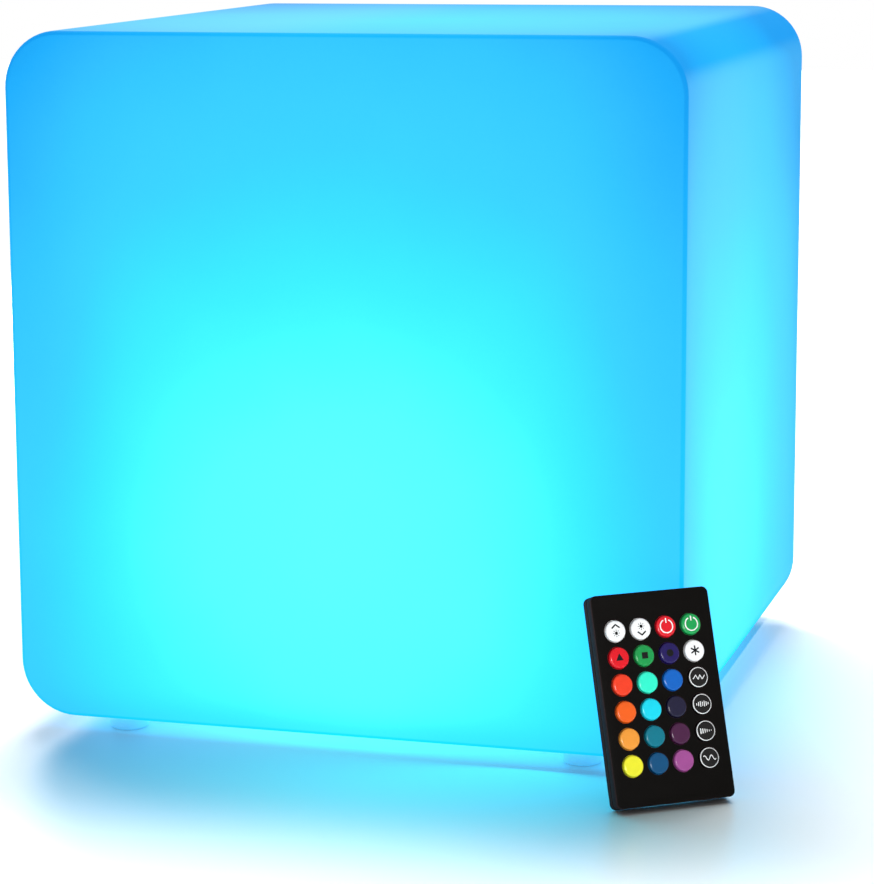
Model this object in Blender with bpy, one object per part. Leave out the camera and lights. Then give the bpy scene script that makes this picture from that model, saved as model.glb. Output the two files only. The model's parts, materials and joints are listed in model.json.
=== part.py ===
# Floating pool light: a hollow rounded cube in translucent polyethylene with a
# twist-in LED unit in its underside, standing on four feet, and the handheld
# 24-key remote that works it, leaning on the cube's front right edge.
#
# Frame: metres, +Z up, z = 0 is the surface that the feet stand on, and the
# origin lies under the middle of the cube, on the axis of the twist-in unit.
# The cube's front is at -Y and its right side at +X.

import bpy
import bmesh
from math import cos, sin, pi, radians, tau, tan, hypot
from mathutils import Matrix, Vector

# ---------------------------------------------------------------- dimensions
MM = 0.001

# cube shell
CUBE_W = 0.2965          # across X
CUBE_D = 0.2875          # across Y
CUBE_H = 0.3000          # across Z, without the feet
FOOT_H = 0.0065          # underside of the shell above the floor
EDGE_R = 0.0245          # radius of the four edges that run along Y
RIM_R = 0.0024           # small radius round the front and back faces
WALL = 0.0040            # rotomoulded wall
Z0 = FOOT_H              # underside of the shell
Z1 = FOOT_H + CUBE_H     # top of the shell

# feet
FOOT_R = 0.0085
FOOT_X = 0.103
FOOT_Y = 0.1295
FOOT_SEAT = 0.0010       # depth of the moulded seat in the underside

# neck for the light unit
NECK_R = 0.0515          # bore
NECK_OUT = 0.0575        # outside of the collar
NECK_TOP = 0.0200        # top of the collar
LEDGE_R = 0.0483         # inner radius of the three bayonet ledges
LEDGE_Z = (0.0071, 0.0104)
LUG_Z = (0.0108, 0.0138)
LUG_R = 0.0508
LEDGE_HALF = 29.0        # degrees
LUG_HALF = 21.5
UNLOCK_DEG = 60.0

# light unit
BASE_Z = 0.0010          # underside of the base, 1 mm clear of the floor
FLANGE_R = 0.0570
FLANGE_TOP = 0.0042
TUBE_RO = 0.0475
TUBE_RI = 0.0445
TUBE_TOP = 0.0534
GRIP_BAR = 0.0120        # width of the bar between the two grip wells
WELL_X = 0.0360          # length of a well
WELL_Y = 0.0190          # width of a well
WELL_TOP = 0.0105        # ceiling of the wells
WELL_T = 0.0020          # thickness of the ceiling
WELL_MID = GRIP_BAR / 2 + WELL_Y / 2
BUTTON_X = 0.0095
PLUG_X = 0.0095
BOSS_R = 0.0412          # circle of the four lens screw bosses
BOSS_A = 25.0            # degrees off the X axis
BOSS_TOP = 0.0512
LENS_Z = (0.0534, 0.0552, 0.0572)
LENS_DOME_R = 0.0340
LENS_TOP = 0.0760

# remote, in its own frame: X across, Y from the front face into the back,
# Z from the bottom end to the top end
RM_W = 0.0520
RM_H = 0.0860
RM_T = 0.0085
RM_CORNER = 0.0026
RM_SPLIT = 0.0046        # parting line between the two halves
RM_WALL = 0.0015
RM_FRONT = 0.0012        # front wall
RM_POS = (0.1548, -0.18456, 0.00275)
RM_TURN = radians(36.07)
RM_LEAN = radians(-20.13)
KEY_R = 0.0043
KEY_HOLE_R = 0.00462
KEY_FLANGE_R = 0.0050
KEY_X0 = -0.01715
KEY_Z0 = 0.0710
KEY_DX = 0.0111
KEY_DZ = 0.0109
KEY_RISE = 0.0009        # height of the key's edge above the front face
KEY_SIDES = 12
TRAY_W = 0.0240
TRAY_H = 0.0270

KEYS = [
    ["key_brightness_up", "key_brightness_down", "key_power_off", "key_power_on"],
    ["key_red", "key_green", "key_blue", "key_white"],
    ["key_vermilion", "key_aqua", "key_azure", "key_mode_flash"],
    ["key_orange", "key_cyan", "key_indigo", "key_mode_strobe"],
    ["key_amber", "key_teal", "key_plum", "key_mode_fade"],
    ["key_yellow", "key_steel_blue", "key_violet", "key_mode_smooth"],
]
KEY_COLOURS = {
    "key_brightness_up": (0.90, 0.90, 0.90), "key_brightness_down": (0.90, 0.90, 0.90),
    "key_power_off": (0.80, 0.02, 0.03), "key_power_on": (0.02, 0.38, 0.09),
    "key_red": (0.80, 0.02, 0.03), "key_green": (0.02, 0.38, 0.09),
    "key_blue": (0.02, 0.01, 0.13), "key_white": (0.90, 0.90, 0.90),
    "key_vermilion": (1.00, 0.07, 0.02), "key_aqua": (0.06, 1.00, 0.60),
    "key_azure": (0.01, 0.16, 0.68), "key_mode_flash": (0.01, 0.01, 0.01),
    "key_orange": (1.00, 0.16, 0.02), "key_cyan": (0.01, 0.75, 1.00),
    "key_indigo": (0.02, 0.02, 0.05), "key_mode_strobe": (0.01, 0.01, 0.01),
    "key_amber": (1.00, 0.38, 0.05), "key_teal": (0.01, 0.20, 0.28),
    "key_plum": (0.10, 0.02, 0.08), "key_mode_fade": (0.01, 0.01, 0.01),
    "key_yellow": (1.00, 0.95, 0.03), "key_steel_blue": (0.01, 0.09, 0.26),
    "key_violet": (0.43, 0.10, 0.35), "key_mode_smooth": (0.01, 0.01, 0.01),
}

# ------------------------------------------------------------------- helpers
for ob in list(bpy.data.objects):
    bpy.data.objects.remove(ob, do_unlink=True)

SCENE = bpy.context.scene.collection
_materials = {}


def material(name, colour, rough=0.5, metallic=0.0, alpha=1.0):
    if name in _materials:
        return _materials[name]
    m = bpy.data.materials.new(name)
    m.use_nodes = True
    p = m.node_tree.nodes["Principled BSDF"]
    p.inputs["Base Color"].default_value = (*colour, 1.0)
    p.inputs["Roughness"].default_value = rough
    p.inputs["Metallic"].default_value = metallic
    p.inputs["Alpha"].default_value = alpha
    _materials[name] = m
    return m


def to_object(name, bm, mat=None, parent=None, loc=(0, 0, 0), smooth=40.0):
    """A named object from a bmesh, shaded smooth except at its sharp edges."""
    bmesh.ops.recalc_face_normals(bm, faces=bm.faces)
    me = bpy.data.meshes.new(name)
    bm.to_mesh(me)
    bm.free()
    if smooth:
        me.shade_smooth()
        me.set_sharp_from_angle(angle=radians(smooth))
    ob = bpy.data.objects.new(name, me)
    SCENE.objects.link(ob)
    ob.location = loc
    if mat is not None:
        me.materials.append(mat)
    if parent is not None:
        ob.parent = parent
    return ob


def cutter(name, bm, parent=None):
    """A helper solid for a Boolean: drawn as wire and never part of the model."""
    ob = to_object(name, bm, None, parent, smooth=None)
    ob.hide_render = True
    ob.display_type = "WIRE"
    return ob


def boolean(ob, other, operation):
    m = ob.modifiers.new(operation.lower(), "BOOLEAN")
    m.operation = operation
    m.solver = "EXACT"
    m.object = other
    return m


def rounded_rect(w, h, r, n, cx=0.0, cy=0.0):
    """Points round a rectangle w by h with corner radius r, n steps a corner."""
    pts = []
    for k, (sx, sy) in enumerate([(1, 1), (-1, 1), (-1, -1), (1, -1)]):
        ox, oy = cx + sx * (w / 2 - r), cy + sy * (h / 2 - r)
        for i in range(n + 1):
            a = pi / 2 * (k + i / n)
            pts.append((ox + r * cos(a), oy + r * sin(a)))
    return pts


def circle(r, n, cx=0.0, cy=0.0, turn=0.0):
    return [(cx + r * cos(tau * i / n + turn), cy + r * sin(tau * i / n + turn)) for i in range(n)]


def arc_sector(r0, r1, a0, a1, n):
    """Outline of a ring sector between two angles in degrees."""
    out = [(r1 * cos(radians(a0 + (a1 - a0) * i / n)), r1 * sin(radians(a0 + (a1 - a0) * i / n))) for i in range(n + 1)]
    out += [(r0 * cos(radians(a1 - (a1 - a0) * i / n)), r0 * sin(radians(a1 - (a1 - a0) * i / n))) for i in range(n + 1)]
    return out


def add_prism(bm, pts, z0, z1, axis="Z"):
    """Adds a prism on a 2-D outline. Along Z the outline is (x, y); along Y it is (x, z)."""
    if axis == "Z":
        verts = [bm.verts.new((x, y, z0)) for x, y in pts]
        step = Vector((0, 0, z1 - z0))
    else:
        verts = [bm.verts.new((x, z0, y)) for x, y in pts]
        step = Vector((0, z1 - z0, 0))
    face = bm.faces.new(verts)
    new = bmesh.ops.extrude_face_region(bm, geom=[face])["geom"]
    moved = [v for v in new if isinstance(v, bmesh.types.BMVert)]
    bmesh.ops.translate(bm, verts=moved, vec=step)
    return bm


def prism(pts, z0, z1, axis="Z"):
    return add_prism(bmesh.new(), pts, z0, z1, axis)


def add_box(bm, x0, x1, y0, y1, z0, z1):
    return add_prism(bm, [(x0, y0), (x1, y0), (x1, y1), (x0, y1)], z0, z1)


def box(x0, x1, y0, y1, z0, z1):
    return add_box(bmesh.new(), x0, x1, y0, y1, z0, z1)


def add_turned(bm, profile, n, centre=(0.0, 0.0), turn=0.0, axis="Z"):
    """Adds a turned solid. profile is a closed outline of (radius, height) pairs,
    or an open one whose two ends lie on the axis at radius 0."""
    cx, cy = centre

    def at(r, h, a):
        if axis == "Z":
            return (cx + r * cos(a), cy + r * sin(a), h)
        return (cx + r * cos(a), h, cy + r * sin(a))

    rings = []
    for r, h in profile:
        if r == 0.0:
            rings.append([bm.verts.new(at(0, h, 0))])
        else:
            rings.append([bm.verts.new(at(r, h, tau * i / n + turn)) for i in range(n)])
    closed = len(rings[0]) > 1
    pairs = list(zip(rings, rings[1:] + rings[:1])) if closed else list(zip(rings, rings[1:]))
    for a, b in pairs:
        for i in range(n):
            j = (i + 1) % n
            if len(a) == 1:
                bm.faces.new((a[0], b[j], b[i]))
            elif len(b) == 1:
                bm.faces.new((a[i], a[j], b[0]))
            else:
                bm.faces.new((a[i], a[j], b[j], b[i]))
    return bm


def turned(profile, n, centre=(0.0, 0.0), turn=0.0, axis="Z"):
    return add_turned(bmesh.new(), profile, n, centre, turn, axis)


def empty(name, loc=(0, 0, 0), parent=None, matrix=None):
    e = bpy.data.objects.new(name, None)
    SCENE.objects.link(e)
    e.empty_display_size = 0.01
    e.location = loc
    if parent is not None:
        e.parent = parent
    if matrix is not None:
        e.matrix_world = matrix
    return e


# ----------------------------------------------------------------- materials
GLOW = material("glow_polyethylene", (0.10, 0.78, 0.95), 0.45)
SILICONE = material("clear_silicone", (0.55, 0.80, 0.86), 0.35)
HOUSING = material("housing_white_abs", (0.80, 0.81, 0.80), 0.42)
RUBBER = material("grey_rubber", (0.16, 0.17, 0.18), 0.75)
LENS = material("clear_polycarbonate", (0.86, 0.92, 0.94), 0.12)
PCB_WHITE = material("white_solder_mask", (0.82, 0.84, 0.82), 0.35)
PCB_GREEN = material("green_solder_mask", (0.03, 0.20, 0.09), 0.35)
HOLDER = material("black_abs", (0.02, 0.02, 0.022), 0.5)
CELL = material("cell_wrap", (0.03, 0.16, 0.42), 0.35)
STEEL = material("zinc_steel", (0.62, 0.62, 0.60), 0.3, 1.0)
SENSOR = material("smoked_epoxy", (0.015, 0.012, 0.015), 0.15)
CASE = material("remote_case_black", (0.012, 0.010, 0.009), 0.42)
MAT_SIL = material("keypad_silicone", (0.10, 0.10, 0.10), 0.65)

# ---------------------------------------------------------------- cube shell
def squircle_block(inset, rim, name, mat=None, is_cutter=False):
    """Block of rounded-square section along Y, with its end rims rounded."""
    bm = bmesh.new()
    zc = (Z0 + Z1) / 2
    pts = rounded_rect(CUBE_W - 2 * inset, CUBE_H - 2 * inset, EDGE_R - inset, 8, 0.0, zc)
    y = CUBE_D / 2 - inset
    add_prism(bm, pts, -y, y, "Y")
    if rim:
        ends = [e for e in bm.edges if abs(abs(e.verts[0].co.y) - y) < 1e-6
                and abs(e.verts[0].co.y - e.verts[1].co.y) < 1e-6]
        bmesh.ops.bevel(bm, geom=ends, offset=rim, offset_type="OFFSET", segments=3,
                        profile=0.5, affect="EDGES", clamp_overlap=True)
    return cutter(name, bm) if is_cutter else to_object(name, bm, mat, smooth=35.0)


shell = squircle_block(0.0, RIM_R, "cube_shell", GLOW)
boolean(shell, squircle_block(WALL, 0.0, "cut_shell_hollow", is_cutter=True), "DIFFERENCE")
# thick collar round the neck, standing up inside the shell
boolean(shell, cutter("add_neck_collar", prism(circle(NECK_OUT, 48), Z0 + 0.0012, NECK_TOP)), "UNION")
# neck bore right through, and the four shallow seats of the feet
bm = prism(circle(NECK_R, 48), Z0 - 0.002, NECK_TOP + 0.002)
for sx in (-1, 1):
    for sy in (-1, 1):
        add_prism(bm, circle(FOOT_R + 0.0004, 20, sx * FOOT_X, sy * FOOT_Y), Z0 - 0.002, Z0 + FOOT_SEAT)
boolean(shell, cutter("cut_neck_and_seats", bm), "DIFFERENCE")
# three bayonet ledges, each with a stop at its start, and a stop at the end of the turn
bm = bmesh.new()
for k in range(3):
    add_prism(bm, arc_sector(LEDGE_R, NECK_R + 0.0011, 120 * k - LEDGE_HALF, 120 * k + LEDGE_HALF, 8), *LEDGE_Z)
boolean(shell, cutter("add_bayonet_ledges", bm), "UNION")
bm = bmesh.new()
for k in range(3):
    add_prism(bm, arc_sector(LEDGE_R + 0.0004, NECK_R + 0.0014, 120 * k - 27.5, 120 * k - 24.0, 1),
              LEDGE_Z[0] + 0.0008, LUG_Z[1] + 0.0008)
    add_prism(bm, arc_sector(LEDGE_R + 0.0004, NECK_R + 0.0014, 120 * k + 84.0, 120 * k + 87.5, 1),
              LEDGE_Z[0] + 0.0008, LUG_Z[1] + 0.0008)
boolean(shell, cutter("add_bayonet_stops", bm), "UNION")

# ---------------------------------------------------------------------- feet
FOOT_PROFILE = [
    (0.0, 0.0), (FOOT_R - 0.0016, 0.0), (FOOT_R - 0.0004, 0.0005), (FOOT_R, 0.0016),
    (FOOT_R, FOOT_H + FOOT_SEAT - 0.0003), (0.0, FOOT_H + FOOT_SEAT - 0.0003),
]
for name, sx, sy in [("foot_front_left", -1, -1), ("foot_front_right", 1, -1),
                     ("foot_back_left", -1, 1), ("foot_back_right", 1, 1)]:
    to_object(name, turned(FOOT_PROFILE, 20), SILICONE, loc=(sx * FOOT_X, sy * FOOT_Y, 0))

# ---------------------------------------------------------- light unit: base
unit = empty("light_unit_axis")

housing_profile = [
    (0.0, BASE_Z), (FLANGE_R - 0.0008, BASE_Z), (FLANGE_R, BASE_Z + 0.0008), (FLANGE_R, FLANGE_TOP),
    (TUBE_RO, FLANGE_TOP), (TUBE_RO, TUBE_TOP), (TUBE_RI, TUBE_TOP), (TUBE_RI, FLANGE_TOP),
    (0.0, FLANGE_TOP),
]
housing = to_object("unit_housing", turned(housing_profile, 40), HOUSING, unit)
# walls round the two grip wells, above the floor of the housing
bm = bmesh.new()
for s in (-1, 1):
    add_prism(bm, rounded_rect(WELL_X + 0.004, WELL_Y + 0.004, 0.006, 4, 0.0, s * WELL_MID),
              FLANGE_TOP - 0.0012, WELL_TOP + WELL_T)
boolean(housing, cutter("add_grip_well_walls", bm), "UNION")
bm = bmesh.new()
for s in (-1, 1):
    add_prism(bm, rounded_rect(WELL_X, WELL_Y, 0.004, 4, 0.0, s * WELL_MID), BASE_Z - 0.001, WELL_TOP)
boolean(housing, cutter("cut_grip_wells", bm), "DIFFERENCE")
# holes for the button's stem and for the charging plug
bm = prism(circle(0.0036, 20, BUTTON_X, -WELL_MID), WELL_TOP - 0.001, WELL_TOP + WELL_T + 0.001)
add_prism(bm, circle(0.0052, 20, PLUG_X, WELL_MID), WELL_TOP - 0.001, WELL_TOP + WELL_T + 0.001)
boolean(housing, cutter("cut_button_and_plug_holes", bm), "DIFFERENCE")
# three bayonet lugs
bm = bmesh.new()
for k in range(3):
    add_prism(bm, arc_sector(TUBE_RO - 0.0008, LUG_R, 120 * k - LUG_HALF, 120 * k + LUG_HALF, 6), *LUG_Z)
boolean(housing, cutter("add_bayonet_lugs", bm), "UNION")
# four screw bosses up the inside of the tube, and two posts for the switch board
SCREWS = [(BOSS_R * cos(radians(a)), BOSS_R * sin(radians(a)))
          for a in (BOSS_A, 180 - BOSS_A, 180 + BOSS_A, 360 - BOSS_A)]
bm = bmesh.new()
for x, y in SCREWS:
    add_prism(bm, circle(0.0036, 12, x, y, radians(7)), FLANGE_TOP - 0.0011, BOSS_TOP)
for y in (-0.0205, 0.0205):
    add_prism(bm, circle(0.0022, 10, -0.0040, y), WELL_TOP + WELL_T - 0.0009, 0.0202)
boolean(housing, cutter("add_bosses", bm), "UNION")
bm = bmesh.new()
for x, y in SCREWS:
    add_prism(bm, circle(0.0016, 10, x, y), BOSS_TOP - 0.0120, BOSS_TOP + 0.001)
boolean(housing, cutter("cut_boss_holes", bm), "DIFFERENCE")

to_object("neck_gasket", turned([
    (0.0526, FLANGE_TOP + 0.0003), (0.0552, FLANGE_TOP + 0.0003),
    (0.0552, Z0 - 0.0003), (0.0526, Z0 - 0.0003)], 36), RUBBER, unit)

# ------------------------------------------------- light unit: inner pieces
# battery holder: plate, two end walls and four pillars for the control board
holder = to_object("battery_holder", box(-0.0205, 0.0205, -0.0375, 0.0375, 0.0235, 0.0250), HOLDER, unit, smooth=None)
bm = bmesh.new()
for s in (-1, 1):
    y0, y1 = sorted((s * 0.0334, s * 0.0350))
    add_box(bm, -0.0203, 0.0203, y0, y1, 0.0246, 0.0385)
    for sx in (-1, 1):
        add_prism(bm, circle(0.0010, 8, sx * 0.0188, s * 0.0363), 0.0245, 0.0452)
add_box(bm, -0.0006, 0.0006, -0.0300, 0.0300, 0.0245, 0.0290)
boolean(holder, cutter("add_holder_walls", bm), "UNION")

CELL_Z = 0.0253 + 0.0092
for name, sx in (("battery_cell_left", -1), ("battery_cell_right", 1)):
    prof = [(0.0, -0.0325), (0.0086, -0.0325), (0.0091, -0.0319), (0.0091, 0.0311), (0.0086, 0.0315),
            (0.0034, 0.0315), (0.0034, 0.0325), (0.0, 0.0325)]
    to_object(name, turned(prof, 20, (sx * 0.0098, CELL_Z), axis="Y"), CELL, unit)

ctrl = to_object("control_board", box(-0.0200, 0.0200, -0.0372, 0.0372, 0.0455, 0.0467), PCB_GREEN, unit, smooth=None)
bm = bmesh.new()
add_box(bm, -0.0050, 0.0050, -0.0060, 0.0060, 0.0466, 0.0482)
add_box(bm, 0.0090, 0.0150, -0.0200, -0.0120, 0.0466, 0.0492)
add_box(bm, -0.0160, -0.0110, 0.0100, 0.0150, 0.0466, 0.0484)
add_box(bm, -0.0150, -0.0110, -0.0260, -0.0220, 0.0466, 0.0481)
add_prism(bm, circle(0.0032, 12, 0.0110, 0.0220), 0.0466, 0.0505)
add_box(bm, -0.0030, 0.0045, -0.0330, -0.0270, 0.0466, 0.0500)
boolean(ctrl, cutter("add_control_parts", bm), "UNION")

led = to_object("led_board", prism(circle(0.0440, 36), 0.0515, 0.0531), PCB_WHITE, unit, smooth=None)
bm = bmesh.new()
for x, y in SCREWS:
    add_prism(bm, circle(0.0018, 10, x, y), 0.0505, 0.0541)
boolean(led, cutter("cut_led_board_holes", bm), "DIFFERENCE")
# surface-mounted LED packages, twelve round the rim and four inside
bm = bmesh.new()
for count, radius, turn in ((12, 0.0260, 15.0), (4, 0.0130, 45.0)):
    for i in range(count):
        a = radians(turn + 360.0 * i / count)
        c, s = cos(a), sin(a)
        pts = [(radius * c + u * c - v * s, radius * s + u * s + v * c)
               for u, v in ((-0.0025, -0.0025), (0.0025, -0.0025), (0.0025, 0.0025), (-0.0025, 0.0025))]
        add_prism(bm, pts, 0.0530, 0.0547)
boolean(led, cutter("add_led_packages", bm), "UNION")

to_object("ir_receiver", turned([
    (0.0, 0.0534), (0.0030, 0.0534), (0.0030, 0.0580), (0.0022, 0.0596), (0.0, 0.0602)], 14), SENSOR, unit)

to_object("lens_gasket", turned([
    (0.0449, TUBE_TOP + 0.0003), (0.0471, TUBE_TOP + 0.0003),
    (0.0471, LENS_Z[1] - 0.0003), (0.0449, LENS_Z[1] - 0.0003)], 32), RUBBER, unit)

# domed lens: flange stepped down on to the LED board, thin crowned dome
outer, inner = [], []
rise_o, rise_i = LENS_TOP - LENS_Z[2], LENS_TOP - 0.0018 - LENS_Z[2]
for i in range(5):
    a = pi / 2 * i / 5
    outer.append((LENS_DOME_R * cos(a), LENS_Z[2] + rise_o * sin(a)))
    inner.append(((LENS_DOME_R - 0.0018) * cos(a), LENS_Z[2] + rise_i * sin(a)))
lens_profile = ([(0.0, LENS_TOP)] + outer[::-1]
                + [(0.0471, LENS_Z[2]), (0.0471, LENS_Z[1]), (0.0445, LENS_Z[1]), (0.0445, LENS_Z[0]),
                   (LENS_DOME_R - 0.0018, LENS_Z[0])]
                + inner + [(0.0, LENS_TOP - 0.0018)])
lens = to_object("lens_dome", turned(lens_profile, 32), LENS, unit)
bm = bmesh.new()
for x, y in SCREWS:
    add_prism(bm, circle(0.0018, 10, x, y), LENS_Z[0] - 0.001, LENS_Z[2] + 0.001)
boolean(lens, cutter("cut_lens_holes", bm), "DIFFERENCE")

for i, (x, y) in enumerate(SCREWS):
    prof = [(0.0, 0.0420), (0.0013, 0.0424), (0.0013, LENS_Z[2] + 0.0003), (0.0028, LENS_Z[2] + 0.0003),
            (0.0028, LENS_Z[2] + 0.0014), (0.0020, LENS_Z[2] + 0.0022), (0.0, LENS_Z[2] + 0.0023)]
    to_object("lens_screw_%d" % (i + 1), turned(prof, 10), STEEL, unit, loc=(x, y, 0))

# switch board with the tact switch and the charging socket under it
to_object("switch_board", prism(rounded_rect(0.0280, 0.0460, 0.002, 2, 0.0070, 0.0), 0.0205, 0.0217),
          PCB_GREEN, unit, smooth=None)
tact = to_object("tact_switch", box(BUTTON_X - 0.003, BUTTON_X + 0.003, -WELL_MID - 0.003, -WELL_MID + 0.003, 0.0174, 0.0202),
                 HOLDER, unit, smooth=None)
boolean(tact, cutter("add_tact_plunger", prism(circle(0.0017, 12, BUTTON_X, -WELL_MID), 0.0163, 0.0176)), "UNION")
sock = to_object("charge_socket", prism(rounded_rect(0.0089, 0.0036, 0.0016, 3, PLUG_X, WELL_MID), 0.0142, 0.0202), STEEL, unit)
boolean(sock, cutter("cut_socket_mouth", prism(rounded_rect(0.0081, 0.0028, 0.0012, 3, PLUG_X, WELL_MID), 0.0132, 0.0182)), "DIFFERENCE")

# ------------------------------------------------------- power button and plug
# ring round the button, seated against the ceiling of the front well
to_object("button_bezel", turned([
    (0.0062, WELL_TOP - 0.0030), (0.0074, WELL_TOP - 0.0028), (0.0078, WELL_TOP - 0.0003),
    (0.0058, WELL_TOP - 0.0003), (0.0058, WELL_TOP - 0.0020)], 24, (BUTTON_X, -WELL_MID)), RUBBER, unit)
button = empty("power_button_axis", (BUTTON_X, -WELL_MID, WELL_TOP), unit)
to_object("power_button", turned([
    (0.0, -0.0038), (0.0030, -0.0036), (0.0046, -0.0030), (0.0053, -0.0020), (0.0053, -0.0014),
    (0.0030, -0.0014), (0.0030, 0.0046), (0.0, 0.0046)], 20), RUBBER, button)
plug = empty("charge_plug_axis", (PLUG_X, WELL_MID, WELL_TOP), unit)
to_object("charge_plug", turned([
    (0.0, -0.0030), (0.0060, -0.0030), (0.0070, -0.0022), (0.0070, -0.0003), (0.0048, -0.0003),
    (0.0048, 0.0024), (0.0, 0.0024)], 20), RUBBER, plug)

# -------------------------------------------------------------------- remote
remote = empty("remote_frame", matrix=Matrix.Translation(RM_POS)
               @ Matrix.Rotation(RM_TURN, 4, "Z") @ Matrix.Rotation(RM_LEAN, 4, "X"))
mid = RM_H / 2


def case_half(name, y0, y1, chamfer_at):
    """Half of the remote's case: a rounded block, its face edge eased."""
    bm = prism(rounded_rect(RM_W, RM_H, RM_CORNER, 4, 0.0, mid), y0, y1, "Y")
    ends = [e for e in bm.edges if abs(e.verts[0].co.y - chamfer_at) < 1e-6 and abs(e.verts[1].co.y - chamfer_at) < 1e-6]
    bmesh.ops.bevel(bm, geom=ends, offset=0.0005, offset_type="OFFSET", segments=1,
                    profile=0.5, affect="EDGES", clamp_overlap=True)
    return to_object(name, bm, CASE, remote, smooth=35.0)


front = case_half("remote_front_case", 0.0, RM_SPLIT, 0.0)
bm = prism(rounded_rect(RM_W - 2 * RM_WALL, RM_H - 2 * RM_WALL, 0.0012, 2, 0.0, mid), RM_FRONT, RM_SPLIT + 0.001, "Y")
boolean(front, cutter("cut_front_hollow", bm, remote), "DIFFERENCE")
bm = bmesh.new()
for r in range(6):
    for c in range(4):
        add_prism(bm, circle(KEY_HOLE_R, KEY_SIDES, KEY_X0 + c * KEY_DX, KEY_Z0 - r * KEY_DZ), -0.001, RM_FRONT + 0.001, "Y")
boolean(front, cutter("cut_key_holes", bm, remote), "DIFFERENCE")

back = case_half("remote_back_case", RM_SPLIT + 0.0003, RM_T, RM_T)
bm = prism(rounded_rect(RM_W - 2 * RM_WALL, RM_H - 2 * RM_WALL, 0.0012, 2, 0.0, mid), RM_SPLIT - 0.001, RM_T - 0.0012, "Y")
boolean(back, cutter("cut_back_hollow", bm, remote), "DIFFERENCE")
# slot of the battery tray, open at the bottom end and at the back
bm = prism([(-TRAY_W / 2 - 0.0003, -0.001), (TRAY_W / 2 + 0.0003, -0.001),
            (TRAY_W / 2 + 0.0003, TRAY_H + 0.0003), (-TRAY_W / 2 - 0.0003, TRAY_H + 0.0003)],
           RM_SPLIT - 0.001, RM_T + 0.001, "Y")
# window for the infrared emitter, let into the top end from the parting line
add_prism(bm, [(-0.0016, RM_H - 0.0030), (0.0016, RM_H - 0.0030), (0.0016, RM_H + 0.001), (-0.0016, RM_H + 0.001)],
          RM_SPLIT - 0.001, 0.00755, "Y")
boolean(back, cutter("cut_tray_slot_and_window", bm, remote), "DIFFERENCE")

# silicone keypad under the keys, with a clear hole for each key's plunger
pad = to_object("remote_keypad", prism(rounded_rect(0.0480, 0.0820, 0.001, 1, 0.0, mid), 0.0027, 0.0032, "Y"), MAT_SIL, remote, smooth=None)
bm = bmesh.new()
for r in range(6):
    for c in range(4):
        add_prism(bm, circle(0.0027, 6, KEY_X0 + c * KEY_DX, KEY_Z0 - r * KEY_DZ), 0.0017, 0.0042, "Y")
boolean(pad, cutter("cut_keypad_holes", bm, remote), "DIFFERENCE")

to_object("remote_circuit_board", prism(rounded_rect(0.0480, 0.0780, 0.001, 1, 0.0, 0.0410), 0.0042, 0.0050, "Y"),
          PCB_GREEN, remote, smooth=None)
# infrared emitter lying in the window of the top end
to_object("ir_emitter", turned([
    (0.0, 0.0806), (0.00115, 0.0806), (0.00115, 0.0850), (0.0008, 0.0857), (0.0, 0.0859)], 10, (0.0, 0.0)),
    SENSOR, remote, loc=(0.0, 0.0061, 0.0))
to_object("battery_contact", box(-0.0040, 0.0040, 0.0053, 0.0056, 0.0285, 0.0390), STEEL, remote, smooth=None)

# battery tray with its coin cell; it slides out of the bottom end
tray_body = empty("battery_tray_axis", parent=remote)
tray = to_object("battery_tray", box(-TRAY_W / 2, TRAY_W / 2, 0.0053, RM_T - 0.0002, 0.0003, TRAY_H), CASE, tray_body, smooth=None)
bm = prism(circle(0.0103, 24, 0.0, 0.0145), 0.0043, 0.0081, "Y")
boolean(tray, cutter("cut_cell_pocket", bm, remote), "DIFFERENCE")
to_object("coin_cell", turned([
    (0.0, 0.0055), (0.0088, 0.0055), (0.0088, 0.0059), (0.0100, 0.0062), (0.0100, 0.0079), (0.0, 0.0079)],
    24, (0.0, 0.0145), axis="Y"), STEEL, tray_body)

# the 24 keys: low domed cap, flange under the case wall, plunger over the board
key_profile = [
    (0.0, -KEY_RISE - 0.00045), (0.0030, -KEY_RISE - 0.00028), (KEY_R, -KEY_RISE + 0.0004),
    (KEY_R, 0.0015), (KEY_FLANGE_R, 0.0015), (KEY_FLANGE_R, 0.0019), (0.0021, 0.0019), (0.0021, 0.0035), (0.0, 0.0035),
]
for r in range(6):
    for c in range(4):
        name = KEYS[r][c]
        mat = material(name, KEY_COLOURS[name], 0.22)
        to_object(name, turned(key_profile, KEY_SIDES, axis="Y"), mat, remote,
                  loc=(KEY_X0 + c * KEY_DX, 0.0, KEY_Z0 - r * KEY_DZ))

bpy.context.view_layer.update()
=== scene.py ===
import bpy
import bmesh
import json
from math import sin, cos, pi, radians, tau, sqrt, hypot, atan2, exp
from mathutils import Matrix, Vector

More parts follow.
